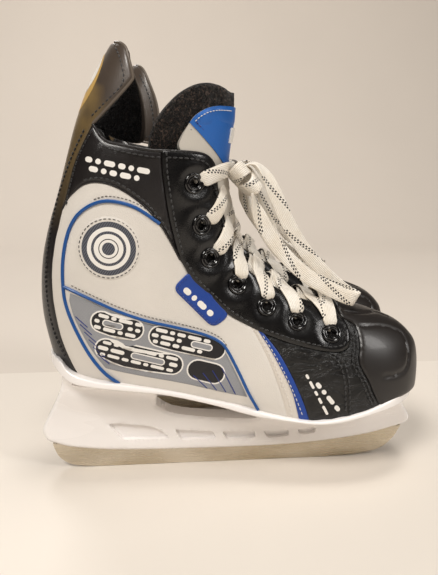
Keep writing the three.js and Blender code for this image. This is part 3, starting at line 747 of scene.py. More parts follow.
def lace_cloth():
    finish = Finish("woven cotton lace", rgb(240, 232, 220), 0.85, sheen_weight=0.25)
    along, across = finish.flat()
    fold = finish.math("PINGPONG", across, 0.5)
    chevron = finish.math("SINE", finish.math("MULTIPLY", finish.math("ADD", along, fold), 7.5))
    rib = finish.math("SINE", finish.math("MULTIPLY", across, 2 * math.pi / 1.0))
    weave = finish.math("ADD", finish.math("MULTIPLY", chevron, 0.5), rib)

    lap = finish.math("MODULO", finish.math("ADD", along, 1000.0), TRACER_EVERY)
    slanted = finish.math("ADD", across, finish.math("MULTIPLY", lap, -0.34))
    line = finish.math("ADD", slanted, 4.6)
    dots = []
    for shift, phase in ((0.0, 0.0), (1.25, 1.05)):
        near = finish.math("COMPARE", line, shift, 0.5)
        beat = finish.math("MODULO", finish.math("ADD", lap, phase), 2.1)
        dots.append(finish.math("MULTIPLY", near, finish.math("LESS_THAN", beat, 1.05)))
    tracer = finish.math("MAXIMUM", *dots)
    soiled = finish.range(finish.noise(90.0, 4.0), 0.35, 0.75)
    cotton = finish.mix(soiled, rgb(248, 243, 234), rgb(232, 221, 203))
    shaded = finish.mix(finish.range(weave, -1.4, 0.0), rgb(218, 207, 190), cotton)
    colour = finish.mix(tracer, shaded, rgb(24, 22, 24))
    fuzz = finish.noise(1800.0, 3.0, 0.7)
    normal = finish.bump(fuzz, 0.00012, 0.6, finish.bump(weave, 0.00014, 0.9))
    return finish.set(base_color=colour, normal=normal)


LACE_CLOTH = lace_cloth()
print("lace cloth made")


# %% [markdown]
# ## Ribbons, tubes and stitches
# Three small shapes serve all the trim: a flat ribbon that follows a route, a round tube for
# piping, and a row of stitches, each a short bead of thread sunk a little into the leather.

# %% Directions along a route
def unit(vectors):
    vectors = np.asarray(vectors, float)
    return vectors / np.maximum(np.linalg.norm(vectors, axis=-1, keepdims=True), 1e-9)


def run_length(points):
    return np.concatenate([[0], np.cumsum(np.linalg.norm(np.diff(points, axis=0), axis=1))])


def smoothed(values, rounds):
    for _ in range(rounds):
        inner = (values[:-2] + 2 * values[1:-1] + values[2:]) / 4
        values = np.vstack([values[:1], inner, values[-1:]])
    return values


print("a route of 3 and 4 is", run_length(np.array([[0.0, 0.0], [3.0, 4.0]]))[-1], "long")

# %% [markdown]
# Sweeping carries one section along a route. The lace's section has round edges, and it can
# narrow and curl where the lace is pulled through a hole.

# %% Sweeping a section, and the lace's own section
def swept(points, across, up, section, flat_across=None, start=0.0):
    """A closed tube: a section of (across, up) offsets carried along a route."""
    points = np.asarray(points, float)
    section = np.broadcast_to(section, (len(points), *section.shape[-2:]))
    count = section.shape[1]
    rings = points[:, None] + across[:, None] * section[:, :, :1] + up[:, None] * section[:, :, 1:]
    run = run_length(points) + start
    sideways = section[:, :, 0] if flat_across is None else flat_across
    flat = np.stack(np.broadcast_arrays(run[:, None], sideways), -1).reshape(-1, 2)
    faces = []
    for i in range(len(points) - 1):
        for j in range(count):
            k = (j + 1) % count
            faces.append((i * count + j, i * count + k, (i + 1) * count + k, (i + 1) * count + j))
    faces.append(tuple(range(count))[::-1])
    faces.append(tuple((len(points) - 1) * count + j for j in range(count)))
    return Shape(rings.reshape(-1, 3), faces, flat)


def circle_section(radius, sides):
    turn = full_turn(sides)
    return np.stack([radius * np.cos(turn), radius * np.sin(turn)], 1)


LACE_SECTION = np.array([
    (-1.0, 0.0), (-0.94, -0.32), (-0.8, -0.5), (-0.4, -0.46), (0.0, -0.5), (0.4, -0.46),
    (0.8, -0.5), (0.94, -0.32), (1.0, 0.0), (0.94, 0.32), (0.8, 0.5), (0.4, 0.46), (0.0, 0.5),
    (-0.4, 0.46), (-0.8, 0.5), (-0.94, 0.32),
]) * np.array([LACE_WIDTH / 2, LACE_THICK])


def ribbon(points, up, start=0.0, width=1.0, curl=0.0):
    """A lace along a route; up is the side that faces out, and curl bends its edges down."""
    tangent = unit(np.gradient(np.asarray(points, float), axis=0))
    up = smoothed(np.asarray(up, float), 6)
    up = unit(up - tangent * (up * tangent).sum(1, keepdims=True))
    across = np.cross(tangent, up)
    width = np.broadcast_to(width, len(points))[:, None]
    bent = curl + 2.2 * (1 - width)
    section = np.empty((len(points), len(LACE_SECTION), 2))
    section[:, :, 0] = LACE_SECTION[:, 0] * width
    section[:, :, 1] = LACE_SECTION[:, 1] - bent * (LACE_SECTION[:, 0] / (LACE_WIDTH / 2)) ** 2
    return swept(points, across, up, section, flat_across=LACE_SECTION[None, :, 0], start=start)


print(f"the lace's section has {len(LACE_SECTION)} points, {LACE_WIDTH} x {LACE_THICK} mm")

# %% [markdown]
# Piping is a tube laid on the leather. A stitch could be a texture, but beads of thread catch
# the light one by one, and they stay sharp when the camera is close.

# %% Piping and stitches on the boot
def tube(t, angle, offset, radius, sides):
    points, up = skin(t, angle, offset), boot_normal(t, angle)
    tangent = unit(np.gradient(points, axis=0))
    return swept(points, np.cross(tangent, up), up, circle_section(radius, sides))


def tube_on_boot(side_view, radius, offset, sides=10):
    return tube(*on_boot(stroke(side_view, 1.4)).T, offset, radius, sides)


# Where each ring of a stitch's bead lies along it, and how thick it is there.
STITCH = np.array([(-0.5, 0.25), (-0.36, 0.8), (0.0, 1.0), (0.36, 0.8), (0.5, 0.25)])
BEAD_SIDES = 6


def bead(centre, along, up, length, width, height):
    across, n, last = np.cross(along, up), BEAD_SIDES, BEAD_SIDES * (len(STITCH) - 1)
    turn = full_turn(n)[:, None]
    rings = []
    for place, share in STITCH:
        middle = centre + along * place * length
        rings.append(middle + share * (across * np.cos(turn) * width + up * np.sin(turn) * height))
    faces = [tuple(range(n))[::-1], tuple(range(last, last + n))]
    for i in range(0, last, n):
        faces += [(i + j, i + (j + 1) % n, i + n + (j + 1) % n, i + n + j) for j in range(n)]
    return Shape(np.vstack(rings), faces)


def stitches(points, normals, pitch=3.2, length=2.4, width=0.42, height=0.55):
    run = run_length(points)
    beads = []
    for place in np.arange(pitch / 2, run[-1] - length / 2, pitch):
        ends = [np.array([np.interp(place + k, run, points[:, i]) for i in range(3)])
                for k in (-length / 2, length / 2)]
        up = unit(np.array([np.interp(place, run, normals[:, i]) for i in range(3)]))
        along = unit(ends[1] - ends[0])
        up = unit(up - along * (up @ along))
        beads.append(bead((ends[0] + ends[1]) / 2, along, up, length, width, height))
    return joined(beads)


def stitch_row(side_view, offset, **sizes):
    t, angle = on_boot(stroke(side_view, 1.0)).T
    return stitches(skin(t, angle, offset), boot_normal(t, angle), **sizes)


print(f"each stitch is a bead of {BEAD_SIDES * len(STITCH)} points")

# %% [markdown]
# ## Loose lace ends
# Each skate's spare lace hangs from the knot as two loops that lie over the instep and fold on
# the toe. The two routes are listed points, in metres, in the right skate's frame: out
# of the knot, down over the instep, round at the toe and back up beside itself.

# %% Routes of the loose laces
LOOSE_OUTER = [
    (0.002, -0.008, 0.182), (0.005, -0.0085, 0.187), (0.011, -0.009, 0.188),
    (0.017, -0.0095, 0.182), (0.023, -0.010, 0.170), (0.0305, -0.010, 0.154),
    (0.039, -0.010, 0.140), (0.0485, -0.010, 0.1285), (0.058, -0.010, 0.119),
    (0.066, -0.010, 0.1125), (0.071, -0.0115, 0.1095), (0.0725, -0.0145, 0.1085),
    (0.070, -0.0178, 0.1088), (0.064, -0.0185, 0.111), (0.056, -0.0185, 0.1148),
    (0.047, -0.0185, 0.1196), (0.038, -0.0185, 0.126), (0.028, -0.0185, 0.1355),
    (0.019, -0.0185, 0.147), (0.012, -0.0185, 0.160), (0.008, -0.018, 0.172),
]
LOOSE_INNER = [
    (0.002, 0.001, 0.182), (0.005, 0.001, 0.186), (0.0095, 0.0005, 0.186), (0.014, 0.0, 0.178),
    (0.0175, -0.001, 0.167), (0.020, -0.0015, 0.156), (0.023, -0.0015, 0.146),
    (0.028, -0.0015, 0.137), (0.0345, -0.001, 0.130), (0.040, 0.001, 0.1255),
    (0.0425, 0.004, 0.1235), (0.0425, 0.007, 0.1235), (0.039, 0.010, 0.126),
    (0.033, 0.011, 0.1308), (0.027, 0.011, 0.137), (0.0215, 0.011, 0.145),
    (0.0165, 0.011, 0.154), (0.012, 0.011, 0.163), (0.008, 0.011, 0.173),
]
print(f"loose laces of {len(LOOSE_OUTER)} and {len(LOOSE_INNER)} points")

# %% [markdown]
# A flat lace can't bend sideways in its own plane, so at each bend it twists and stands on
# edge. The way it faces is set along each route and then smoothed.

# %% Loose laces
def hank_faces(points, stand):
    """Which way a loose lace faces: up at the knot, then turned on edge towards the sides."""
    run = run_length(points)
    tangent = unit(np.gradient(points, axis=0))
    lean = np.radians(np.interp(points[:, 0], [8, 31, 60, 82], [15, 33, 49, 62]))
    outward = np.stack([np.cos(lean), np.zeros(len(run)), np.sin(lean)], 1)
    on_edge = smooth_step(6, 34, run) * smooth_step(0, 16, run[-1] - run)
    turn = ((0.1 + stand * on_edge) * math.pi / 2)[:, None]
    across = outward * np.sin(turn) + np.array([0.0, 1.0, 0.0]) * np.cos(turn)
    return np.cross(across, tangent)


def loose_lace(name, route, node, stand):
    points = stroke(np.array(route) / MM, 1.5)
    up = hank_faces(points, stand)
    for side in SIDES:
        obj = add_object(f"{side}_{name}_piece", ribbon(points, up, curl=0.25), side, LACE_CLOTH, 60)
        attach(obj, f"{side}_skate")
        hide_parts(f"{side}_{node}")


loose_lace("loose_lace_outer", LOOSE_OUTER, "lace_free_outer", 0.78)
loose_lace("loose_lace_inner", LOOSE_INNER, "lace_free_inner", 0.62)

# %% [markdown]
# ## Where the boot meets the sole
# The rim of the sole plate is a line in the side view. `rim_between` follows it on the boot's
# surface between two side-view points, a little below the rim's top, so that every panel ends
# hidden behind the plastic.

# %% Heights and widths of the rim
RIM_TOP = np.array([
    [-112, 78.5], [-104, 76], [-100, 71.5], [-94, 68.5], [-82, 65.5], [-69, 63.5], [-50, 60],
    [-34, 56.7], [-19, 53], [-1, 49], [12, 45.4], [28, 42], [44, 40.4], [58, 42], [73, 45.2],
    [84, 48.5], [96, 51.5], [114, 53],
])
RIM_BOTTOM = np.array([
    [-112, 72], [-104, 66.5], [-98, 63], [-91, 61.5], [-71, 59], [-45, 55], [-12, 47], [0, 43.6],
    [12, 41], [28, 39.2], [44, 37.6], [57, 38.2], [69, 40.3], [84, 43.2], [100, 45], [114, 45.5],
])
RIM_HALF_WIDTH = np.array([
    [-112, 3], [-110, 10], [-104, 20], [-95, 26], [-80, 29], [-60, 29], [-40, 28], [-20, 28.5],
    [0, 31], [20, 35], [40, 38.5], [60, 40], [75, 38.5], [85, 36], [95, 31], [103, 23.5],
    [109, 15], [113, 4],
])
TUCK = 1.5
print(f"the rim is up to {2 * RIM_HALF_WIDTH[:, 1].max():.0f} mm wide")

# %% [markdown]
# On the boot, the rim is found by halving: at each t the angle is narrowed down until the
# surface is as high as the rim there.

# %% The rim line
def rim_height(x):
    return np.interp(x, RIM_TOP[:, 0], RIM_TOP[:, 1])


def rim_angle(t):
    low, high = np.zeros_like(t), np.full_like(t, math.pi * 0.6)
    for _ in range(40):
        middle = (low + high) / 2
        point = boot_point(t, middle)
        below = point[:, 2] < rim_height(point[:, 0]) - TUCK
        low, high = np.where(below, middle, low), np.where(below, high, middle)
    return (low + high) / 2


RIM_T = np.linspace(0.0, 0.62, 500)
RIM_LINE = np.stack([RIM_T, rim_angle(RIM_T)], 1)
TOE_T = RIM_T[np.argmax(RIM_LINE[:, 1] > 0.03)]
HEEL_T = RIM_T[len(RIM_T) - 1 - np.argmax(RIM_LINE[::-1, 1] > 0.03)]
print(f"the rim runs from t = {TOE_T:.3f} at the toe to {HEEL_T:.3f} at the heel")

# %% [markdown]
# An outline is a chain of paths: along a seam, along the rim, or at one angle of the boot.

# %% Paths for outlines
def rim_t(x):
    t, angle = RIM_LINE[(RIM_T >= TOE_T) & (RIM_T <= HEEL_T)].T
    places = boot_point(t, angle)[:, 0]
    order = np.argsort(places)
    return float(np.interp(x, places[order], t[order]))


def rim_between(t_from, t_to, step=1.8):
    length = abs(t_to - t_from) * 430
    t = np.linspace(t_from, t_to, max(3, int(length / step)))
    return np.stack([t, np.interp(t, RIM_LINE[:, 0], RIM_LINE[:, 1])], 1)


def line(points, step=1.6):
    return on_boot(stroke(points, step))


def chain(*pieces):
    return np.vstack([piece[:-1] for piece in pieces])


def along_angle(t_from, t_to, angle, step=1.8):
    t = np.linspace(t_from, t_to, max(3, int(abs(t_to - t_from) * 300 / step)))
    return np.stack([t, np.full_like(t, angle)], 1)


def mirrored(path, about):
    back = path[::-1].copy()
    back[:, 1] = 2 * about - back[:, 1]
    return back


print(f"half the rim takes {len(rim_between(TOE_T, HEEL_T))} points")

# %% [markdown]
# ## Seams
# Each seam is a line in the side view, from heel to toe or from top to bottom. Neighbouring
# panels share their seams, so that they meet without a gap.

# %% Seam lines
BACK_SEAM = [[-80, 209.5], [-82, 207], [-90, 192.5], [-95.6, 176], [-98.8, 163.5], [-104.3, 142],
             [-106.4, 120], [-104, 94], [-98, 76], [-94, 67]]
QUARTER_TOP = [[-98.8, 163.5], [-94, 171], [-86, 177.5], [-77, 179], [-66, 175.5], [-54, 167],
               [-46, 158], [-40, 148], [-34, 136]]
QUARTER_FRONT = [[-34, 136], [-27, 124], [-18, 114.5], [-6, 103], [7, 95.5]]
FACING_BACK = [[-43, 195.6], [-42.5, 182], [-39.5, 160], [-34, 136]]
FACING_FRONT = [[-13, 184], [-11, 172], [-7, 154], [-3, 139], [3, 130], [15, 121], [30, 113],
                [54, 104]]
FACING_LOW = [[14, 92], [30, 86], [48, 81.5], [60, 81], [65, 86], [63, 97], [54, 104]]
COLLAR_TOP = [[-80, 209.5], [-74, 201.5], [-66, 199], [-50, 196], [-43, 195.6]]
FACING_TOP = [[-43, 195.6], [-30, 195], [-20, 193.5], [-15, 189.5], [-13, 184]]
STRIPE_BACK = [[7, 95.5], [14, 82], [21, 66], [26, 50], [28.3, 40.5]]
STRIPE_MIDDLE = [[10.5, 94], [17.5, 83], [24.5, 70], [30.5, 57], [35, 40]]
STRIPE_FRONT = [[14, 92], [23, 80], [31, 65], [37, 51], [41, 39.5]]
CAP_SEAM = [[61.5, 106], [62, 99], [70, 94], [71.5, 84], [70.5, 74], [76, 63], [80, 54], [84, 47]]
TONGUE_BACK = [[-27, 192.5], [-22, 172], [-16, 152], [-8, 136], [6, 121], [24, 108], [44, 98],
               [60, 93]]


def back(points):
    return points[::-1]


print(f"the seam under the collar is {run_length(np.array(QUARTER_TOP))[-1]:.0f} mm long")

# %% [markdown]
# Leather is never quite flat. Its relief is a sum of a few sine waves in random directions,
# which has no seams and is the same for a panel and for the print on it.

# %% Shared reliefs
def waves(points, seed, length, count=7):
    random = np.random.default_rng(seed)
    total = np.zeros(len(points))
    for _ in range(count):
        direction = unit(random.normal(size=3))
        size = 2 * math.pi / (length * random.uniform(0.7, 1.6))
        total += np.sin(points @ direction * size + random.uniform(0, 2 * math.pi))
    return total / math.sqrt(count)


def quarter_relief(points, t, angle):
    return 0.28 * waves(points, 3, 38.0) + 0.06 * waves(points, 4, 9.0)


ankle = skin([0.6], [1.6])
print(f"the quarter's relief at the ankle is {quarter_relief(ankle, 0.6, 1.6)[0]:.2f} mm")

# %% [markdown]
# ## Lining
# The boot is lined with black fleece over foam, from the footbed up to the collar, and open at
# the front where the tongue lies. Its top edge is round and shows above the collar.

# %% Lining
TOP_CENTRE_T = float(on_boot([[60, 106.0]])[0, 0])
LINING_TOP = [[-96, 200.2], [-88, 203], [-80, 208.6], [-74, 200.8], [-66, 198.2], [-50, 195.2],
              [-30, 194.2], [-27, 192.0]]
LINING_FRONT_T = 0.11


def lining():
    front_t = rim_t(86)
    top = line(LINING_TOP)
    path = chain(
        along_angle(HEEL_T, top[0, 0], 0.0),
        np.vstack([[top[0, 0], 0.0], top]),
        line(TONGUE_BACK),
        line([[60, 93], [64, 99], [66, 104]]),
        along_angle(TOP_CENTRE_T - 0.02, LINING_FRONT_T, FRONT - 0.01),
        np.stack([np.full(12, LINING_FRONT_T), np.linspace(FRONT - 0.01, 1.0, 12)], 1),
        rim_between(front_t, HEEL_T),
    )
    half = panel(path, offset=-1.7, thickness=4.6, spacing=3.4, roll=1.6, roll_width=3.0,
                 relief=lambda p, t, a: 0.25 * waves(p, 11, 16.0))
    return both_flanks(half)


for piece in place("lining", lining(), FLEECE, "fleece", stands_for=["liner"], crease=50):
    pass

# %% [markdown]
# ## Leather panels
# Grey leatherette covers the heel and the arch, dark leather the collar and the back seam, a
# black facing carries the eyelets, and a pale and a blue stripe run down to the sole.

# %% Quarters, collars, stripes
RIM_HEEL_T, RIM_BACK_T = rim_t(-93.5), rim_t(28.3)
RIM_MIDDLE_T, RIM_FRONT_T, RIM_CAP_T = rim_t(35), rim_t(41), rim_t(84)


def quarter():
    path = chain(line(QUARTER_TOP), line(QUARTER_FRONT), line(STRIPE_BACK),
                 rim_between(RIM_BACK_T, RIM_HEEL_T), line(back(BACK_SEAM[4:])))
    return both_flanks(panel(path, thickness=1.3, relief=quarter_relief))


def collar_puff(points, t, angle):
    return 0.5 + 0.35 * waves(points, 5, 30.0)


def collar():
    path = chain(line(QUARTER_TOP), line(back(FACING_BACK)), line(back(COLLAR_TOP)),
                 line(BACK_SEAM[:5]))
    return both_flanks(panel(path, thickness=1.5, roll=0.9, roll_width=2.2, relief=collar_puff))


def stripe(behind, front, rim_behind, rim_front, lift):
    ends = line([front[0], behind[0]], 1.0)
    path = chain(line(behind), rim_between(rim_behind, rim_front, 1.0), line(back(front)), ends)
    shape = panel(path, offset=lift, thickness=1.2 + lift, spacing=1.6, roll=0.45, roll_width=0.8)
    return both_flanks(shape)


place("quarter", quarter(), GREY_LEATHER, "grey_leather",
      stands_for=["quarter_outer", "quarter_inner"])
place("collar", collar(), DARK_COLLAR, "dark_leather", stands_for=["collar_outer", "collar_inner"])
place("pale_stripe", stripe(STRIPE_BACK, STRIPE_MIDDLE, RIM_BACK_T, RIM_MIDDLE_T, 0.1),
      PALE_LEATHER, "grey_leather")
place("blue_stripe", stripe(STRIPE_MIDDLE, STRIPE_FRONT, RIM_MIDDLE_T, RIM_FRONT_T, 0.35),
      BLUE_LEATHER, "blue", stands_for=["stripe_outer", "stripe_inner"])


# %% [markdown]
# The facing is padded round each eyelet: pulling the lace tight sinks the leather there and
# lifts it in between, which is what gives the long soft highlights.

# %% Facings
EYELETS = [[-26, 178], [-22, 155], [-17, 136], [-1, 120], [16, 107], [34, 98], [54, 90.5]]
EYELET_TA = on_boot(EYELETS)
EYELET_POINTS = skin(*EYELET_TA.T, 0.8)


def facing_relief(points, t, angle):
    near = distance_to(points, EYELET_POINTS)
    dimple = -1.2 * np.exp(-((near / 6.2) ** 2))
    swell = 0.75 * np.exp(-(((near - 9.6) / 2.6) ** 2))
    return 0.7 + dimple + swell + 0.3 * waves(points, 8, 24.0)


def facing():
    path = chain(line(FACING_TOP), line(FACING_FRONT), line(back(FACING_LOW)),
                 line([[14, 92], [7, 95.5]]), line(back(QUARTER_FRONT)), line(back(FACING_BACK)))
    holes = [(point, 2.6) for point in EYELET_POINTS]
    shape = panel(path, offset=0.7, thickness=1.6, spacing=1.8, roll=0.9, roll_width=1.8,
                  relief=facing_relief, holes=holes)
    return both_flanks(shape)


place("facing", facing(), BLACK_FACING, "black_leather",
      stands_for=["facing_outer", "facing_inner"])

# %% [markdown]
# An eyelet is a short tube with a rolled rim, pressed through the leather and lacquered. Its
# profile is turned round the leather's normal, so that each ring lies flush on its facing.

# %% Eyelets
def turned(profile, centre, axis, sides=36):
    side = unit(np.cross(axis, (0.0, 1.0, 0.3)))
    other = np.cross(axis, side)
    turn = full_turn(sides)
    ring = side[None] * np.cos(turn)[:, None] + other[None] * np.sin(turn)[:, None]
    points = np.vstack([centre + axis * height + ring * radius for radius, height in profile])
    count, faces = len(profile), []
    for i in range(count):
        for j in range(sides):
            k, n = (j + 1) % sides, (i + 1) % count
            faces.append((i * sides + j, i * sides + k, n * sides + k, n * sides + j))
    return Shape(points, faces)


EYELET_PROFILE = [
    (2.7, -2.6), (3.1, -2.6), (3.4, 0.2), (5.4, 0.4), (5.8, 0.8), (5.7, 1.25), (5.4, 1.65),
    (5.0, 1.8), (4.5, 1.65), (4.1, 1.3), (3.9, 1.15), (3.7, 1.3), (3.4, 1.5), (3.0, 1.4),
    (2.7, 0.9),
]


def eyelets():
    rings = []
    for t, angle in EYELET_TA:
        axis = boot_normal(t, angle)
        rings.append(turned(EYELET_PROFILE[::-1], skin(t, angle, 0.35), axis))
    return both_flanks(joined(rings))


place("eyelet_rings", eyelets(), ENAMEL, "black_enamel",
      stands_for=["eyelets_outer", "eyelets_inner"], crease=60)

# %% [markdown]
# The vamp creases where the foot bends, and the toe cap is one hard moulded shell with two
# shallow grooves that follow its outline. The cap closes at the toe's tip, where the boot's
# surface coordinates run together, so it is filled on a disc round that tip.

# %% Vamp
def vamp_relief(points, t, angle):
    bend = np.exp(-(((points[:, 0] - 55) / 18) ** 2))
    soft = np.sin(points[:, 0] * 0.62 + 1.1 * waves(points, 21, 26.0))
    return 0.35 * waves(points, 22, 20.0) + 0.4 * bend * soft + 0.1 * waves(points, 23, 6.0)


def vamp():
    half = chain(
        line([[54, 108.4], [54, 104]], 0.8), line(back(FACING_LOW)), line(STRIPE_FRONT),
        rim_between(RIM_FRONT_T, RIM_CAP_T), line(back(CAP_SEAM)),
    )
    half[0, 1] = FRONT
    end = on_boot([[61.5, 106.6]])[0]
    half = np.vstack([half, [[end[0], FRONT]]])
    path = np.vstack([half, mirrored(half, FRONT)[1:-1]])
    return panel(path, offset=0.1, thickness=1.4, roll=0.7, roll_width=1.6, relief=vamp_relief)


place("vamp", vamp(), BLACK_VAMP, "black_leather", stands_for=["vamp"])

# %% Toe cap
CAP_SCALE = 280.0


def on_disc(path):
    radius = path[:, 0] * CAP_SCALE
    return np.stack([radius * np.sin(path[:, 1]), -radius * np.cos(path[:, 1])], 1)


CAP_GROOVES = [
    [[64, 101], [72, 99.3], [80.4, 98.2], [91, 96.8], [97, 93.8]],
    [[74, 93], [87.5, 91.8], [96.2, 89.1], [101.3, 86], [103.6, 81], [103.9, 73.3], [101.2, 67.1],
     [94.5, 64.8], [86, 65]],
]


def cap_relief(points, t, angle):
    grooves = [on_boot(stroke(points, 0.5)) for points in CAP_GROOVES]
    lines = np.vstack([skin(*groove.T) for groove in grooves])
    lines = np.vstack([lines, lines * [1.0, -1.0, 1.0]])
    return 0.7 - 1.0 * np.exp(-((distance_to(points, lines) / 1.0) ** 2))


def toe_cap():
    start = on_boot([[61.5, 106.6]])[0, 0]
    half = np.vstack([[[start, FRONT]], line(CAP_SEAM)[:-1], rim_between(RIM_CAP_T, TOE_T)[:-1],
                      [[TOE_T, 0.0]]])
    path = np.vstack([half[1:], mirrored(half, 0.0)[1:]])
    flat, triangles = filled(on_disc(path), 1.5)
    t = np.linalg.norm(flat, axis=1) / CAP_SCALE
    angle = np.arctan2(flat[:, 0], -flat[:, 1])
    t = np.maximum(t, 0.0012)
    base = skin(t, angle)
    edge = distance_to(base, skin(*path.T))
    turn = 0.9 * (1 - np.clip(edge / 1.8, 0, 1)) ** 2
    top = skin(t, angle, cap_relief(base, t, angle) - turn)
    triangles = turned_out(triangles, top, boot_normal(t, angle))
    return closed_sheet(top, skin(t, angle, -1.6), triangles, base[:, [0, 2]])


place("toe_cap", toe_cap(), CAP_PLASTIC, "black_gloss", stands_for=["toe_cap"], crease=45)


# %% [markdown]
# ## Piping and stitching
# Blue piping edges the quarter under the collar and swings down to the heel. Black thread holds
# the facing, the collar and the vamp in single and double rows.

# %% Piping
PIPING = [[-45, 156.5], [-56, 164.3], [-65, 167.8], [-74, 168.8], [-82, 166.5], [-89, 161.5],
          [-93.5, 155], [-96.5, 147], [-98.5, 137], [-99.3, 126], [-98.8, 114], [-96, 103],
          [-91, 91], [-85, 79.5], [-78, 70], [-70, 63]]
PIPING_LOW = [[-99, 121], [-95, 119.5], [-84, 114.5], [-69, 107.5], [-53, 101.5], [-38, 97.5],
              [-22, 92.8], [-12, 88], [-7, 82], [0, 68], [5, 57], [11, 46]]

piping = joined([tube_on_boot(PIPING, 1.0, 0.5), tube_on_boot(PIPING_LOW, 0.9, 0.5)])
place("piping", both_flanks(piping), PIPING_BLUE, "blue")
welt = joined([tube_on_boot(COLLAR_TOP + FACING_TOP[1:], 0.85, -0.1),
               tube_on_boot(QUARTER_TOP, 0.6, 0.2)])
place("welt", both_flanks(welt), DARK_COLLAR, "dark_leather")


# %% [markdown]
# Each row of stitches is a seam moved a few millimetres inwards, at its leather's height.

# %% Stitch rows
def moved(points, dx, dz):
    return [[x + dx, z + dz] for x, z in points]


BLACK_ROWS = [
    (moved(FACING_BACK, 2.2, 0)[:3] + [[-32.6, 138]], 2.0),
    ([[-41, 192], [-30, 191.6], [-22, 190.3], [-17.5, 186.5], [-16, 182]], 2.0),
    ([[-15.6, 180], [-13.6, 171], [-9.8, 154], [-6, 140]], 2.0),
    ([[-31, 135], [-24.4, 124.4], [-16, 116], [-4.6, 105], [8, 97.2]], 2.0),
    ([[11, 95.5], [30, 88.6], [48, 84], [58.5, 83.6], [62.3, 87], [60.6, 96], [54, 101.5]], 2.0),
    (moved(COLLAR_TOP[1:], 0, -3.5), 0.9),
    (moved(QUARTER_TOP[2:-1], 0.5, 2.2), 0.9),
    (moved(BACK_SEAM[1:5], 2.3, 0), 0.9),
    ([[51, 79.5], [57.5, 75], [60.5, 66], [61.5, 55], [62, 43]], 0.7),
    ([[53.5, 80], [60, 75.5], [63, 66], [64, 55], [64.5, 43]], 0.7),
    ([[68.8, 92], [69.6, 84], [68.6, 74], [73.8, 63], [77.8, 54], [81, 48]], 0.7),
    ([[66.4, 91], [67.2, 84], [66.2, 74], [71.4, 63], [75.4, 54], [78.6, 48]], 0.7),
]
black_rows = joined([stitch_row(points, offset) for points, offset in BLACK_ROWS])
place("black_stitches", both_flanks(black_rows), BLACK_THREAD, "black_leather", crease=60)

STRIPE_STITCH = [[8.6, 94.5], [15.8, 82], [22.8, 67], [28.5, 52], [31, 42]]
pale_rows = stitch_row(STRIPE_STITCH, 0.2, pitch=2.6, length=1.9, width=0.28)
blue_rows = stitch_row([[13.2, 91], [20.6, 79], [27.8, 65], [33.4, 52], [37.6, 41]], 0.45, pitch=3.0,
                       length=2.0, width=0.28)
place("stripe_stitches", both_flanks(joined([pale_rows, blue_rows])), WHITE_THREAD,
      "grey_leather", crease=60)
piping_rows = joined([
    stitch_row(moved(points, 0, 2.6), 0.15, pitch=2.2, length=1.5, width=0.26)
    for points in (PIPING[:5], PIPING_LOW[1:9])
])
place("piping_stitches", both_flanks(piping_rows), GREY_THREAD, "grey_leather", crease=60)

# %% [markdown]
# ## Patches and print on the outer side
# The outer side carries a round patch of rings, a blue badge tucked under the facing, and a
# mesh panel with a print. The real ones carry words. Staggered capsules with plain windows and
# rows of blocks stand in for them, each a film a fraction of a millimetre thick: real geometry
# keeps its edge sharp at any distance, and it follows the relief of the leather below.

# %% Thin patches
def evenly(path, step=1.5):
    closed = np.vstack([path, path[:1]])
    run = run_length(closed)
    even = np.arange(0, run[-1], step)
    return np.stack([np.interp(even, run, closed[:, k]) for k in range(2)], 1)


def rounded_corners(points, radius=1.6, count=5):
    points, path = np.asarray(points, float), []
    for before, here, after in zip(np.roll(points, 1, 0), points, np.roll(points, -1, 0)):
        first = here + unit(before - here) * min(radius, np.linalg.norm(before - here) * 0.45)
        last = here + unit(after - here) * min(radius, np.linalg.norm(after - here) * 0.45)
        for k in np.linspace(0, 1, count):
            path.append((1 - k) ** 2 * first + 2 * k * (1 - k) * here + k * k * last)
    return np.array(path)


def patch(side_view, offset, thickness=0.5, spacing=1.6, roll=0.15, corners=False):
    path = on_boot(side_view) if corners else line(side_view)[:-1]
    return panel(path, offset=offset, thickness=thickness, spacing=spacing, roll=roll,
                 roll_width=0.6, relief=quarter_relief)


def ring_points(centre, radius, count=64):
    return [[centre[0] + radius * math.cos(a), centre[1] + radius * math.sin(a)]
            for a in full_turn(count)]


badge_corner = rounded_corners([(0, 0), (8, 0), (8, 8), (0, 8)])
print(f"a square patch with round corners takes {len(evenly(badge_corner))} points")

# %% [markdown]
# The round patch is a disc of leather under discs of print, each smaller and a little higher
# than the last, so that a ring is what shows between two discs.

# %% Ring patch
RING_CENTRE = (-73, 143)
RING_STITCH_RADIUS = 16.3
RING_BANDS = [(14.9, "HATCHED"), (11.9, "WHITE"), (9.6, "HATCHED"), (8.1, "WHITE"),
              (5.5, "BLACK"), (5.0, "WHITE"), (3.5, "HATCHED")]
RING_FINISH = {"HATCHED": (HATCHED, "ring_print"), "WHITE": (WHITE_INK, "ring_print"),
               "BLACK": (BLACK_INK, "black_leather")}


def outer_only(name, shape, finish, slot, stands_for=(), crease=40):
    return place(name, shape, finish, slot, stands_for=stands_for, crease=crease)


base = patch(ring_points(RING_CENTRE, 17.6), 0.35, thickness=0.6, roll=0.35, corners=True)
outer_only("ring_patch_base", base, GREY_LEATHER, "grey_leather", ["ring_patch"])
for number, (radius, kind) in enumerate(RING_BANDS):
    disc = patch(ring_points(RING_CENTRE, radius), 0.42 + 0.05 * number, thickness=0.25,
                 spacing=1.3, roll=0.03, corners=True)
    finish, slot = RING_FINISH[kind]
    outer_only(f"ring_band_{number}", disc, finish, slot)


def ring_stitches():
    circle = ring_points(RING_CENTRE, RING_STITCH_RADIUS, 120)
    t, angle = on_boot([*circle, circle[0]]).T
    return stitches(skin(t, angle, 0.45), boot_normal(t, angle), 2.6, 1.8, 0.26, 0.34)


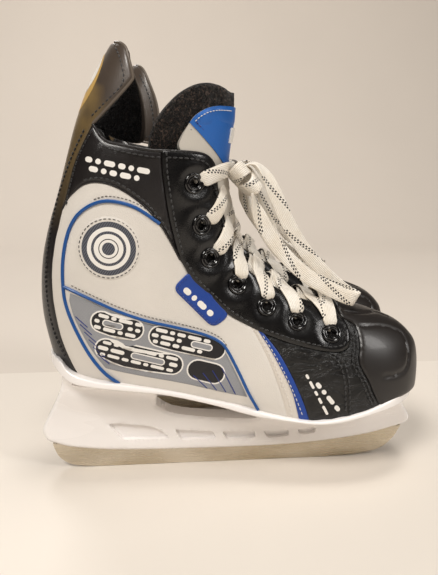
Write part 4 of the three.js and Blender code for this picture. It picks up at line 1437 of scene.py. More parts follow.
outer_only("ring_stitches", ring_stitches(), BLACK_THREAD, "black_leather", crease=60)

# %% [markdown]
# The side badge is padded, with its upper end tucked under the facing and a row of blue thread
# round the rest.

# %% Side badge
BADGE_CORNERS = [[-38.6, 120], [-28, 130], [-5.5, 103], [-15.6, 95.8]]


def badge_outline():
    return evenly(rounded_corners(BADGE_CORNERS, 5.0, 8), 1.2)


badge = patch(badge_outline(), 0.9, thickness=1.0, roll=0.5, corners=True)
outer_only("side_badge", badge, BLUE_LEATHER, "blue", ["side_badge"])
badge_row = stitch_row([[-30.5, 125.6], [-34.8, 121.6], [-35.4, 118.6], [-26, 108], [-18, 99.4],
                        [-15.4, 98.6], [-11, 102.4]], 1.0, pitch=2.2, length=1.6, width=0.26)
outer_only("side_badge_stitches", badge_row, BLUE_THREAD, "blue", crease=60)

# %% [markdown]
# The mesh panel fills the arch between the piping and the sole. It is a patch on the quarter,
# as on the real boot, and its weave is a bump in the finish.

# %% Mesh panel
MESH_OUTLINE = np.vstack([
    stroke([[-95.5, 117.6], [-84, 112.8], [-69, 105.8], [-53, 99.8], [-38, 95.8], [-22, 91],
            [-13, 86.4], [-8.3, 81], [-1.4, 67], [3.4, 56.5]], 1.8),
    stroke([[4.4, 54], [-10, 57], [-34, 63], [-62, 69], [-76, 72.5]], 1.8),
    stroke([[-77.5, 73], [-83, 81], [-89, 92], [-94, 103.5], [-96.2, 113]], 1.8),
])
mesh = patch(MESH_OUTLINE, 0.35, thickness=0.6, spacing=2.2, roll=0.25, corners=True)
outer_only("mesh_panel", mesh, MESH_CLOTH, "mesh_print", ["mesh_panel"])


# %% [markdown]
# The print is made of round-ended bars in the slanted axes of the panel. Outline, fill, window
# and mesh stand a few hundredths of a millimetre over each other.

# %% Capsules and windows
def bar(centre, length, height, tilt, count=10):
    """A round-ended bar as a side-view outline."""
    radius = height / 2
    right = [(length / 2 - radius + radius * math.cos(a), radius * math.sin(a))
             for a in np.linspace(-math.pi / 2, math.pi / 2, count)]
    points = right + [(-x, -z) for x, z in right]
    cos, sin = math.cos(tilt), math.sin(tilt)
    return [[centre[0] + x * cos - z * sin, centre[1] + x * sin + z * cos] for x, z in points]


PRINT_TILT = math.radians(-15.5)


def printed(name, bars, finish, slot, offset, **sizes):
    shapes = [patch(bar(*item), offset, thickness=0.2, spacing=1.3, roll=0.02, corners=True)
              for item in bars]
    outer_only(name, joined(shapes), finish, slot)


def in_print(x, z):
    """A place in the print's own slanted axes, from the middle of the panel."""
    cos, sin = math.cos(PRINT_TILT), math.sin(PRINT_TILT)
    return (-47.5 + x * cos - z * sin, 84.0 + x * sin + z * cos)


CAPSULES = [((-25.5, 8.6), 31), ((-9, -6.4), 52), ((15.5, 8.4), 46), ((30.5, -6.0), 23)]
printed("print_outlines", [(in_print(*c), w, 13.2, PRINT_TILT) for c, w in CAPSULES], WHITE_INK,
        "mesh_print", 0.5)
printed("print_shapes", [(in_print(*c), w - 1.8, 11.4, PRINT_TILT) for c, w in CAPSULES],
        BLACK_INK, "mesh_print", 0.56)
WINDOWS = [((-28, 8.6), 12), ((-4, -6.4), 20), ((24, 8.4), 13)]
printed("print_windows", [(in_print(*c), w, 4.2, PRINT_TILT) for c, w in WINDOWS], WHITE_INK,
        "mesh_print", 0.62)
printed("print_meshes", [(in_print(*c), w - 1.4, 2.8, PRINT_TILT) for c, w in WINDOWS],
        MESH_CLOTH, "mesh_print", 0.68)


# %% [markdown]
# Lines of small print become rows of blocks of different lengths, which read as text from far
# away and say nothing from near.

# %% Rows of blocks and slanted lines
def row_of_blocks(start, height, lengths, gap=1.3):
    blocks, x = [], start[0]
    for length in lengths:
        blocks.append((in_print(x + length / 2, start[1]), length, height, PRINT_TILT))
        x += length + gap
    return blocks


BLOCK_ROWS = [
    ((-37, 12.2), 2.1, (6, 3, 8, 4)), ((-38.5, 8.6), 2.2, (3,)), ((-19.5, 8.6), 2.2, (3, 3)),
    ((-38, 5.0), 2.1, (4, 7, 3, 6)), ((-31, -2.7), 1.9, (5, 3, 8, 4, 6, 3, 7)),
    ((-33, -6.4), 2.4, (6, 8)), ((8.5, -6.4), 2.4, (5,)),
    ((-31, -10.1), 1.9, (3, 7, 4, 6, 3, 8, 4)), ((-4, 11.9), 2.1, (7, 3, 5, 8, 4)),
    ((-5.5, 8.4), 2.2, (4, 8, 3)), ((-4, 4.9), 2.1, (3, 6, 4, 8, 3)),
]
printed("print_blocks", [block for row in BLOCK_ROWS for block in row_of_blocks(*row)],
        WHITE_INK, "mesh_print", 0.62)


def slanted_lines():
    left = [[[-93 + 2.3 * k, 104 - 4.4 * k], [-86.5 + 2.3 * k, 98 - 4.4 * k]] for k in range(6)]
    right = [[[-27 + 5.5 * k, 68 + 1.4 * k], [-19 + 5.5 * k, 59.6 - 1.2 * k]] for k in range(4)]
    return joined([tube_on_boot(points, 0.3, 0.42, 6) for points in left + right])


outer_only("print_lines", slanted_lines(), BLUE_INK, "mesh_print")


# %% [markdown]
# The collar, the side badge and the vamp carry short rows of blocks too. They take the relief
# of the leather below, so none of them sinks in.

# %% Blocks on the collar, the badge and the vamp
def blocks_along(start, step_x, step_z, lengths, height, gap=1.6):
    tilt = math.atan2(step_z, step_x)
    blocks, run = [], 0.0
    for length in lengths:
        middle = run + length / 2
        centre = (start[0] + middle * math.cos(tilt), start[1] + middle * math.sin(tilt))
        blocks.append((centre, length, height, tilt))
        run += length + gap
    return blocks


def block_print(name, rows, offset, lift):
    shapes = []
    for row in rows:
        for item in blocks_along(*row):
            path = on_boot(bar(*item))
            shapes.append(panel(path, offset=offset, thickness=0.4, spacing=1.3, roll=0.04,
                                roll_width=0.4, relief=lift))
    outer_only(name, joined(shapes), WHITE_INK, "ring_print")


block_print("collar_blocks", [((-84, 191.2), 1, -0.2, (4, 3, 6, 4, 3, 7), 3.0),
                              ((-82.2, 186.2), 1, -0.2, (5, 3, 4, 6, 3), 3.0)], 0.12, collar_puff)
block_print("vamp_blocks", [((44.5, 63), 1, -1.25, (4, 3, 6, 4), 2.6),
                            ((38.5, 68), 1, -1.9, (3, 5, 3, 4, 6), 1.6)], 0.25, vamp_relief)
block_print("badge_blocks", [((-32, 119.6), 1, -1.0, (5, 3, 6, 4), 3.4)], 1.05, quarter_relief)


# %% [markdown]
# ## Tongue
# The tongue is thick black felt, faced with silver leatherette that ends under the laces, with
# a blue badge and one plain white block at the top of its front. Its top stands free of the
# collar and flexes.

# %% Felt
FLAP_REAR = [[-22, 172], [-30, 178], [-40, 183], [-48, 188], [-51, 196]]
FLAP_OUTLINE = [[-51, 196], [-50, 202.5], [-48, 208.5], [-44.5, 214.5], [-39.5, 220.5],
                [-32.5, 226.5], [-24, 230.6], [-16, 231.8], [-9, 231]]
FLAP_TOP = [[-9, 231], [-4.5, 229.6], [0, 227.4]]
ON_FLAP = {"part": "tongue_flap", "bend": ((0.0, 0.0, 190.0), (0.0, 0.0, 206.0))}


def tongue_offset(t, angle):
    """How deep the felt lies: under the lining at the collar, and flush above it."""
    x, _, z = boot_point(t, angle).T
    rear = smooth_step(-20.0, -30.0, x)
    return -4.2 - 2.6 * rear + (3.4 + 2.6 * rear) * smooth_step(196.0, 213.0, z)


def across_front(half):
    return np.vstack([half, mirrored(half, FRONT)[1:-1]])


def tongue_swell(points):
    return 0.3 * waves(points, 31, 14.0)


def tongue_relief(points, t, angle):
    return tongue_offset(t, angle) + tongue_swell(points)


def tongue_panel(path, outer, thickness, roll, roll_width, spacing):
    return panel(path, offset=outer, thickness=thickness, spacing=spacing, roll=roll,
                 roll_width=roll_width, relief=tongue_relief)


def felt_sheet():
    half = chain(line([[62, 106.2], [60, 93]], 1.5), line(back(TONGUE_BACK[1:])), line(FLAP_REAR),
                 line(FLAP_OUTLINE), line(FLAP_TOP))
    half = np.vstack([half, on_boot([FLAP_TOP[-1]])])
    half[[0, -1], 1] = FRONT
    path = across_front(half)
    scale = np.array([T_SCALE, ANGLE_SCALE])
    flat, triangles = filled(path * scale, 1.7, rings=(0.5, 1.3, 2.4))
    t, angle = (flat / scale).T
    base = skin(t, angle)
    edge = distance_to(base, skin(*path.T))
    thick = 5.6 * np.sqrt(1 - (1 - np.clip(edge / 3.0, 0, 1)) ** 2) * 0.5
    fuzz = 0.16 * waves(base, 32, 3.4) + 0.1 * waves(base, 33, 2.2)
    middle = tongue_offset(t, angle) - 2.8 + tongue_swell(base) + fuzz
    outer, inner = skin(t, angle, middle + thick), skin(t, angle, middle - thick)
    triangles = turned_out(triangles, outer, boot_normal(t, angle))
    return closed_sheet(outer, inner, triangles, base[:, [0, 2]])


for piece in place("tongue_felt", felt_sheet(), FELT, "fleece",
                   stands_for=["tongue", "tongue_flap"], crease=70, **ON_FLAP):
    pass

# %% [markdown]
# Silver leatherette covers the felt's front and a bright blue badge lies on it. Both keep
# their distance from the felt, also where it dives under the collar.

# %% Silver facing and badge of the tongue
SILVER_EDGE = [[-27.5, 210.6], [-31.8, 203.5], [-33.5, 197.5], [-29, 191], [-22, 181], [-17, 168],
               [-12, 155], [-7, 145]]
BADGE_EDGE = [[-27.8, 210.4], [-24.4, 214.5], [-18.6, 218.0], [-12.3, 219.6], [-4, 219.9]]
BADGE_LOW = [[-27.8, 210.4], [-22, 204.5], [-14.5, 196.5], [-8.5, 189], [-4.6, 182.4]]


def cover(strokes, lift, thickness, roll):
    half = np.vstack([line(points)[:-1] for points in strokes] + [line(strokes[-1])[-1:]])
    half = np.vstack([[[half[0, 0], FRONT]], half, [[half[-1, 0], FRONT]]])
    return tongue_panel(across_front(half), lift, thickness, roll, 1.4, 1.8)


silver = cover([BADGE_EDGE[::-1], SILVER_EDGE], 0.6, 1.0, 0.5)
place("tongue_silver", silver, SILVER, "grey_leather", **ON_FLAP)
tongue_badge = cover([BADGE_EDGE[::-1], BADGE_LOW], 1.2, 0.9, 0.6)
place("tongue_badge", tongue_badge, BADGE_BLUE, "blue", stands_for=["tongue_badge"], **ON_FLAP)


# %% Stitches and block of the tongue
def tongue_row(side_view, lift, **sizes):
    t, angle = line(side_view, 1.0).T
    return stitches(skin(t, angle, tongue_offset(t, angle) + lift), boot_normal(t, angle), **sizes)


badge_rows = tongue_row([[-25.3, 210.8], [-22.6, 213.4], [-17.6, 216.1], [-12, 217.3], [-4, 217.5]],
                        1.7, pitch=2.0, length=1.3, width=0.26)
place("tongue_badge_stitches", both_flanks(badge_rows), WHITE_THREAD, "blue", crease=60, **ON_FLAP)
silver_rows = tongue_row([[-26.6, 207.4], [-29.4, 202.2], [-31, 197.4]], 1.75, pitch=2.6, length=1.8,
                         width=0.5)
place("tongue_silver_stitches", both_flanks(silver_rows), BLACK_THREAD, "grey_leather", crease=60,
      **ON_FLAP)
badge_low_rows = tongue_row(moved(BADGE_LOW[:4], 3.2, 0.6), 1.75, pitch=2.4, length=1.7)
place("tongue_badge_low_stitches", both_flanks(badge_low_rows), BLUE_THREAD, "blue", crease=60,
      **ON_FLAP)


def tongue_block():
    """The plain white block at the middle of the badge."""
    t, angle = on_boot([[-1, 205]])[0, 0], FRONT
    corners = rounded_corners([(-0.017, -0.36), (0.017, -0.36), (0.017, 0.36), (-0.017, 0.36)],
                              0.006, 4)
    return tongue_panel(corners + [t, angle], 1.75, 0.5, 0.05, 0.4, 1.4)


place("tongue_block", tongue_block(), WHITE_INK, "ring_print", **ON_FLAP)

# %% [markdown]
# ## Tendon guard
# The guard is a stiff coated shield over the tendon, stitched a few millimetres inside its edge
# and lined with fleece. Its outer wing sits higher than its inner one.

# %% Outline of the guard
ON_GUARD = {"part": "tendon_guard", "bend": ((-100.0, 0.0, 202.0), (-94.0, 0.0, 218.0))}
OUTER_WING = [[-67.5, 253.6], [-64, 252.2], [-61.4, 249.4], [-60.2, 245], [-58, 235.5],
              [-58.6, 231.8], [-69.5, 220.5], [-80, 210.2]]
INNER_WING = [[-67.5, 253.4], [-63, 249.5], [-58.5, 239], [-55, 229], [-53.2, 219], [-53, 208],
              [-55.5, 201.5], [-64, 202], [-73.5, 205], [-80, 210.2]]
GUARD_TOP_T = float(on_boot([[-69.9, 254.2]])[0, 0])
GUARD_FOOT_T = float(on_boot([[-101.5, 203]])[0, 0])


def from_centre(t, path, count=10):
    first = np.stack([np.linspace(t, path[0, 0], count), np.linspace(0, path[0, 1], count)], 1)
    return np.vstack([first[:-1], path])


def down_to_sole(wing):
    flank = chain(from_centre(GUARD_TOP_T, line(wing)), line([[-80, 210.2]] + BACK_SEAM[1:]),
                  rim_between(RIM_HEEL_T, HEEL_T))
    return np.vstack([flank, [[HEEL_T, 0.0]]])


def down_to_collar(wing):
    flank = from_centre(GUARD_TOP_T, line(wing))
    return np.vstack([flank, from_centre(GUARD_FOOT_T, flank[-1:])[::-1][1:]])


def both_wings(half):
    inner = half(INNER_WING)[::-1] * np.array([1.0, -1.0])
    return np.vstack([half(OUTER_WING), inner[1:-1]])


print(f"the guard runs from t = {GUARD_FOOT_T:.3f} to {GUARD_TOP_T:.3f}")

# %% [markdown]
# One sheet runs from the guard's top down the back of the boot to the sole.

# %% Guard and backstay
def guard_form(points, t, angle):
    return 0.35 * waves(points, 41, 34.0)


guard_skin = panel(both_wings(down_to_sole), offset=0.2, thickness=1.4, spacing=2.2, roll=0.7,
                   roll_width=1.4, relief=guard_form)
place("tendon_guard", guard_skin, GUARD_INK_AND_HIGHLIGHT, "guard_grey",
      stands_for=["tendon_guard", "backstay"], **ON_GUARD)


def guard_lining():
    path = both_wings(down_to_collar)
    middle = [0.93, 0.0]
    return panel((path - middle) * [0.992, 0.97] + middle, offset=-1.3, thickness=3.6, spacing=3.0,
                 roll=0.2, roll_width=1.0)


for piece in place("guard_lining", guard_lining(), FLEECE, "fleece", crease=60, **ON_GUARD):
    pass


# %% [markdown]
# A narrow binding closes the guard's edge, and the oval print at the back is two thin films.

# %% Edge and ovals of the guard
def wing_edge(wing):
    t, angle = line(wing, 1.2).T
    return tube(t, angle, -0.4, 0.85, 8)


guard_edge = joined([wing_edge(OUTER_WING), other_side(wing_edge(INNER_WING))])
place("guard_edge", guard_edge, GUARD_TRIM, "guard_grey", **ON_GUARD)


def oval(t, t_radius, angle_radius, count=48):
    turn = full_turn(count)
    return np.stack([t + t_radius * np.cos(turn), angle_radius * np.sin(turn)], 1)


gold_oval = panel(oval(0.916, 0.036, 0.52), offset=0.32, thickness=0.4, spacing=1.6, roll=0.05,
                  relief=guard_form)
white_oval = panel(oval(0.925, 0.023, 0.40), offset=0.42, thickness=0.3, spacing=1.4, roll=0.05,
                   relief=guard_form)
place("guard_gold_oval", gold_oval, GOLD_INK, "guard_grey", **ON_GUARD)
place("guard_white_oval", white_oval, WHITE_INK, "ring_print", **ON_GUARD)

# %% Stitches of the guard
OUTER_WING_ROW = [[-80.5, 213.6], [-72, 221.4], [-64, 229], [-62.4, 234], [-64, 243], [-66.5, 249.5]]
INNER_WING_ROW = [[-78, 211.5], [-72, 208], [-63, 205.5], [-57.5, 206], [-56.5, 212], [-58.5, 229],
                  [-65.5, 247]]
BACKSTAY_ROW = [[-84.5, 207], [-92.4, 192.5], [-99.4, 176], [-103.4, 164], [-108.2, 142],
                [-110.2, 120], [-107.2, 94], [-100.5, 77]]
OUTER, INNER = 1, -1
GUARD_ROWS = [(OUTER_WING_ROW, OUTER), (INNER_WING_ROW, INNER), (BACKSTAY_ROW, OUTER),
              (BACKSTAY_ROW, INNER)]


def guard_rows():
    rows = []
    for points, flank in GUARD_ROWS:
        row = stitch_row(points, 0.5, pitch=2.8, length=2.0, width=0.5)
        rows.append(row if flank == OUTER else other_side(row))
    return joined(rows)


place("guard_stitches", guard_rows(), BLACK_THREAD, "black_leather", crease=60, **ON_GUARD)


# %% [markdown]
# ## Lacing
# The lace comes up through an eyelet, lies over the facing's edge, crosses the tongue and goes
# under the other facing to the next eyelet up. Each crossing is one strap from its eyelet to
# where it disappears, and the two top straps meet in the knot.

# %% Routes on the boot
def strap_route(stops):
    """Stops are (t, angle, height); the route is smooth on the boot's surface."""
    scale = [T_SCALE, ANGLE_SCALE, 1.0]
    t, angle, height = (stroke(np.array(stops) * scale, 0.8) / scale).T
    return skin(t, angle, height), boot_normal(t, angle)


FACING_FRONT_TA = line(FACING_FRONT, 0.8)


def facing_edge(t):
    order = np.argsort(FACING_FRONT_TA[:, 0])
    return float(np.interp(t, FACING_FRONT_TA[order, 0], FACING_FRONT_TA[order, 1]))


print(f"the facing's edge takes {len(FACING_FRONT_TA)} points")

# %% [markdown]
# A crossing comes up through its eyelet, over the facing and down under the other one. Of each
# pair, one lies high at the middle of the tongue and one low, in turn.

# %% Crossing straps
def crossing(row, over):
    t0, a0 = EYELET_TA[row]
    t1 = EYELET_TA[row - 1, 0]
    share = lambda k: t0 + (t1 - t0) * k
    near, far = facing_edge(share(0.3)), facing_edge(share(0.75))
    middle = -0.4 if over else -2.3
    stops = [
        (t0, a0 + 0.045, -2.6),
        (share(0.01), a0 + 0.075, 0.6),
        (share(0.03), a0 + (near - a0) * 0.42, 2.9),
        (share(0.14), a0 + (near - a0) * 0.75, 2.7),
        (share(0.3), near + 0.02, 1.7),
        (share(0.42), near + 0.16, -0.6),
        (share(0.52), FRONT, middle),
        (share(0.62), 2 * FRONT - far - 0.16, -2.6),
        (share(0.75), 2 * FRONT - far + 0.03, -3.2),
        (share(0.85), 2 * FRONT - far + 0.12, -3.2),
    ]
    return strap_route(stops)


crossing_length = run_length(crossing(3, True)[0])[-1]
print(f"the crossing from the fourth eyelet is {crossing_length:.0f} mm long")

# %% [markdown]
# The top straps run into the knot, and the bottom one goes straight across.

# %% Top and bottom straps
def top_strap():
    t0, a0 = EYELET_TA[0]
    near = facing_edge(t0)
    stops = [
        (t0, a0 + 0.045, -2.6),
        (t0 + 0.001, a0 + 0.075, 0.6),
        (t0 + 0.002, a0 + (near - a0) * 0.38, 3.1),
        (t0 + 0.003, a0 + (near - a0) * 0.78, 3.2),
        (t0 + 0.002, near + 0.10, 2.6),
        (t0 - 0.002, near + 0.34, 2.4),
        (t0 - 0.004, FRONT - 0.10, 3.0),
        (t0 - 0.003, FRONT + 0.06, 3.4),
    ]
    return strap_route(stops)


def bottom_strap():
    t0, a0 = EYELET_TA[-1]
    half = [(0, 0.045, -2.6), (0.001, 0.09, 0.8), (0.002, 0.26, 3.2), (0.003, 0.55, 2.8)]
    stops = [(t0 + t, a0 + angle, height) for t, angle, height in half]
    stops.append((t0 + 0.003, FRONT, 2.4))
    stops += [(t0 + t, 2 * FRONT - a0 - angle, height) for t, angle, height in half[::-1]]
    return strap_route(stops)


print(f"the bottom strap is {run_length(bottom_strap()[0])[-1]:.0f} mm long")

# %% [markdown]
# Each strap starts at its own place in the weave, so that the tracer's squares don't line up.

# %% Lacing
def strap(route, start, both_ends=False):
    """A strap bunched where it comes through its eyelet."""
    points, up = route
    run = run_length(points)
    width = 0.5 + 0.5 * smooth_step(1.5, 8.0, run)
    if both_ends:
        width = np.minimum(width, width[::-1])
    return ribbon(points, up, start=start, width=width, curl=0.3)


def lacing():
    straps = []
    for row in range(1, len(EYELETS)):
        over = row % 2 == 0
        straps.append(strap(crossing(row, over), row * 47.0))
        straps.append(other_side(strap(crossing(row, not over), row * 31.0 + 9)))
    straps.append(strap(top_strap(), 12.0))
    straps.append(other_side(strap(top_strap(), 27.0)))
    straps.append(strap(bottom_strap(), 3.0, both_ends=True))
    return joined(straps)


place("lacing", lacing(), LACE_CLOTH, "lace", stands_for=["lace_laced"], crease=60)


# %% [markdown]
# What shows of the knot is a tight bundle, so it is two turns wound round the hank, each with
# its own tilt.

# %% Knot
KNOT_CENTRE = np.array([7.0, -4.0, 177.5])
INSTEP_UP = np.array([0.72, 0.0, 0.69])


def knot_wrap(shift, tilt, start):
    """One turn of lace round the hank, flat against it."""
    turn = np.linspace(-0.15, 2 * math.pi + 0.15, 60)
    side = np.array([0.0, 1.0, 0.0])
    out = unit(INSTEP_UP)
    down = np.cross(out, side)
    wide, deep = 15.0, 5.6
    points = (KNOT_CENTRE + down * shift + side * (np.sin(turn) * wide)[:, None]
              + out * (np.cos(turn) * deep)[:, None] + down * (np.sin(turn) * tilt)[:, None])
    up = side * (np.sin(turn) / wide)[:, None] + out * (np.cos(turn) / deep)[:, None]
    return ribbon(points, unit(up), start=start)


knot = joined([knot_wrap(0.0, 2.5, 5.0), knot_wrap(6.5, -3.0, 60.0)])
place("knot", knot, LACE_CLOTH, "lace", crease=60)

# %% [markdown]
# ## Sole plate and blade holder
# The white plastic is one moulding on the real skate: a plate that follows the sole, two
# pedestals with a window between them, and a long shoe that grips the steel runner. Shallow
# pockets in its web leave ribs. Here the plate and the holder are two shapes.

# %% Sole plate
def lofted(stations):
    """A closed body through rings of the same number of points."""
    count = len(stations[0])
    points = np.vstack(stations)
    faces = [tuple(range(count)), tuple((len(stations) - 1) * count + j for j in range(count))[::-1]]
    for i in range(len(stations) - 1):
        for j in range(count):
            k = (j + 1) % count
            faces.append((i * count + k, i * count + j, (i + 1) * count + j, (i + 1) * count + k))
    return Shape(points, faces)


def spline_at(table, x):
    table = np.asarray(table, float)
    dense = spline(table, np.linspace(0, 1, 1200))
    return np.interp(x, dense[:, 0], dense[:, 1])


def plate_stations():
    ease = np.linspace(0, math.pi, 150)
    return -112.0 + 226.0 * (1 - np.cos(ease)) / 2


def plate_half_width(x):
    half = spline_at(RIM_HALF_WIDTH, x)
    closing = np.clip(np.minimum(x + 112.2, 114.2 - x) / 1.6, 0, 1)
    return np.maximum(half, 2.5) * np.sqrt(1 - (1 - closing) ** 2) + 0.02


def rounded_section(half, bottom, top, radius):
    """Half of a rounded rectangle's outline from its bottom middle to its top middle."""
    radius = min(radius, half * 0.8, (top - bottom) * 0.45)
    low = [(half - radius + radius * math.sin(a), bottom + radius - radius * math.cos(a))
           for a in np.linspace(0, math.pi / 2, 6)]
    high = [(half - radius + radius * math.cos(a), top - radius + radius * math.sin(a))
            for a in np.linspace(0, math.pi / 2, 6)]
    return [(0.0, bottom), *low, *high, (0.0, top)]


def sole_plate():
    stations = []
    for x, half in zip(plate_stations(), plate_half_width(plate_stations())):
        bottom, top = spline_at(RIM_BOTTOM, x), spline_at(RIM_TOP, x)
        outer = rounded_section(half, bottom + 0.8, top - 0.3, 1.2)
        ring = [(x, -y, z) for y, z in outer] + [(x, y, z) for y, z in outer[-2:0:-1]]
        stations.append(np.array(ring))
    return lofted(stations)


place("sole_plate", sole_plate(), WHITE_PLASTIC, "white_plastic", stands_for=["outsole"], crease=50)

# %% [markdown]
# The holder's side view: heel, line of the blade, toe, window, pockets and vents.

# %% Holder outline
BLADE_LINE = [[-114, 18], [-100, 14], [-68, 11], [-2, 10], [44, 11], [83, 15], [110, 21.5]]
HOLDER_HEEL = [[-103, 76], [-104.5, 66], [-106, 56], [-111, 44], [-118, 30], [-119, 25], [-117, 20],
               [-114, 18]]
HOLDER_TOE = [[110, 21.5], [113, 23.2], [114, 26.5], [112, 31], [107.5, 38], [103, 47.5]]
WINDOW = [[-49, 42], [-42, 37.5], [-34, 35], [-20, 33], [-10, 32], [3, 31], [12, 31], [15, 33],
          [12, 36.5], [0, 41], [-12, 45], [-28, 49], [-44, 53.5], [-48, 50], [-49, 42]]
POCKETS = [
    [[-79, 29.4], [-74, 30.6], [-52, 27.4], [-46, 24], [-41, 18.2], [-70, 18.6]],
    [[-38, 24.6], [-14, 22.6], [-11.5, 17], [-33.5, 16.8]],
    [[-8, 22.2], [13, 21.6], [14, 16.8], [-5, 16]],
    [[18, 21.2], [35, 21.4], [35, 16.9], [21.5, 16.1]],
    [[40, 21.8], [53, 22.5], [52, 18.4], [42.5, 17.4]],
]
HEEL_VENTS = [[[-99, 60.5], [-91, 59], [-91, 57.6], [-99, 58.8]],
              [[-83, 57.8], [-75, 56.8], [-75, 55.4], [-83, 56.4]],
              [[-66, 55.4], [-58, 54.2], [-58, 52.8], [-66, 54]]]


POCKET_DEPTH, VENT_DEPTH, EDGE_ROUND = 2.9, 3.0, 1.8
print(f"{len(POCKETS)} pockets and {len(HEEL_VENTS)} vents in each side of the holder")

# %% [markdown]
# Its width is a function of place: narrow at the blade, and flaring out to the plate's rim.

# %% Width of the holder
def holder_half_width(x, z):
    blade = spline_at(BLADE_LINE, np.clip(x, -114, 110))
    top = spline_at(RIM_BOTTOM, np.clip(x, -112, 114)) + 3
    share = np.clip((z - blade + 3) / (top - blade + 3), 0, 1)
    flare = 0.82 * spline_at(RIM_HALF_WIDTH, np.clip(x, -104, 100))
    keys = [(0, 4.0), (0.25, 5.1), (0.5, 6.9), (0.72, 10.2)]
    low = np.interp(share, *zip(*keys))
    rise = smooth_step(0.72, 1.0, share) ** 1.6
    return low + (flare - 10.2) * rise


def signed_depth(points, polygon):
    gap = distance_to(points, evenly(polygon, 0.3))
    return np.where(inside(points, polygon), gap, -gap)


def web(flat, triangles, half):
    """A flat body that reaches half its width to each side of y = 0."""
    outer = np.stack([flat[:, 0], -half, flat[:, 1]], 1)
    inner = np.stack([flat[:, 0], half, flat[:, 1]], 1)
    outward = np.broadcast_to([0.0, -1.0, 0.0], outer.shape)
    return closed_sheet(outer, inner, turned_out(triangles, outer, outward), flat)


middle_width = 2 * holder_half_width(np.array([-20.0]), np.array([20.0]))[0]
print(f"the shoe is {middle_width:.1f} mm wide over the middle of the blade")

# %% [markdown]
# The side view is filled with even triangles, finer along every edge. Booleans would cut the
# pockets with razor edges. Here the width itself sinks inside each pocket, which leaves the
# soft edges of a moulding.

# %% Holder
def holder_outline():
    top_x = np.linspace(103, -103, 120)
    top = np.stack([top_x, spline_at(RIM_BOTTOM, top_x) + 1.0], 1)
    return evenly(np.vstack([stroke(HOLDER_HEEL)[:-1], stroke(BLADE_LINE)[:-1],
                             stroke(HOLDER_TOE)[:-1], top]))


def holder_net(border, window, marks):
    low, high = border.min(0), border.max(0)
    grid = np.array([(x + (j % 2) * 0.9, z) for j, z in enumerate(np.arange(low[1], high[1], 1.55))
                     for x in np.arange(low[0], high[0], 1.8)])
    keep = inside(grid, border) & ~inside(grid, window)
    for ring in (border, window, *marks):
        keep &= distance_to(grid, ring) > 1.3
    rings = [grid[keep]]
    for depth in (0.35, 0.9, 1.8):
        rings += [inner_ring(border, depth), inner_ring(window, -depth)]
    for mark in marks:
        rings += [mark, inner_ring(mark, 0.55)]
    extra = np.vstack(rings)
    extra = extra[inside(extra, border) & ~inside(extra, window)]
    edges = closed_edges(0, len(border)) + closed_edges(len(border), len(window))
    flat, triangles = triangulated(np.vstack([border, window, extra]), edges)
    middles = flat[triangles].mean(1)
    return flat, triangles[inside(middles, border) & ~inside(middles, window)]


def holder():
    border, window = holder_outline(), evenly(stroke(WINDOW, 0.8))
    pockets = [rounded_corners(points) for points in POCKETS + HEEL_VENTS]
    flat, triangles = holder_net(border, window, [evenly(pocket, 0.8) for pocket in pockets])
    half = holder_half_width(*flat.T)
    lower = flat[:, 1] < spline_at(RIM_BOTTOM, flat[:, 0]) - 1
    fine = evenly(border, 0.4)
    free = fine[fine[:, 1] < spline_at(RIM_BOTTOM, fine[:, 0])]
    edge = distance_to(flat, np.vstack([free, evenly(window, 0.4)]))
    half = half - np.where(lower, EDGE_ROUND * (1 - np.clip(edge / EDGE_ROUND, 0, 1)) ** 2, 0)
    for number, pocket in enumerate(pockets):
        depth = POCKET_DEPTH if number < len(POCKETS) else VENT_DEPTH
        half = half - depth * smooth_step(-0.05, 0.5, signed_depth(flat, pocket))
    return web(flat, triangles, half)


place("blade_holder", holder(), WHITE_PLASTIC, "white_plastic", stands_for=["blade_holder"],
      crease=50)

# %% [markdown]
# The steel runner is three millimetres thick and sits in a groove along the shoe. It is ground
# flat for most of its length and curves up at both ends.

# %% Runner
RUNNER_OUTLINE = [
    [[-114, 16], [-112, 10.5], [-109.5, 6.5], [-103.5, 2.3], [-95, 0.6], [-85, 0.0]],
    [[-85, 0.0], [60, 0.0]],
    [[60, 0.0], [80, 1.2], [96, 4.3], [104.5, 11], [110, 20]],
    [[110, 20], [100, 20.5], [83, 18.6], [44, 14.0], [-2, 13.3], [-68, 14.0], [-100, 16.3],
     [-108, 17.5], [-114, 16]],
]


def runner():
    border = np.vstack([stroke(points, 2.0)[:-1] for points in RUNNER_OUTLINE])
    flat, triangles = filled(border, 3.0, rings=(0.3, 1.2))
    edge = distance_to(flat, evenly(border, 0.5))
    half = 1.5 - 0.22 * (1 - np.clip(edge / 0.35, 0, 1))
    return web(flat, triangles, half)


place("runner", runner(), STEEL, "steel", stands_for=["runner"], crease=30)


# %% [markdown]
# The footbed is a thin cupped sole of fleece. It is lofted through rounded sections that end in
# an arc at the heel and the toe.

# %% Footbed
def footbed():
    stations = []
    for x in np.linspace(-100, 96, 70):
        ends = math.sqrt(max(0.0, 1 - (1 - min(1.0, (x + 100.5) / 12, (96.5 - x) / 16)) ** 2))
        half = (spline_at(RIM_HALF_WIDTH, x) - 8.5) * ends + 0.5
        base = spline_at(RIM_TOP, x) + 2.4
        outer = rounded_section(half, base, base + 3.2, 1.2)
        cup = [(y, z + 1.2 * (y / max(half, 1)) ** 2) for y, z in outer]
        stations.append(np.array([(x, -y, z) for y, z in cup] + [(x, y, z) for y, z in cup[-2:0:-1]]))
    return lofted(stations)


place("footbed", footbed(), FLEECE, "fleece", stands_for=["footbed"], crease=60)


# %% [markdown]
# The insole board under it is pressed fibre, and hardly seen. The CAD shape is good enough, so
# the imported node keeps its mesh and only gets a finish.

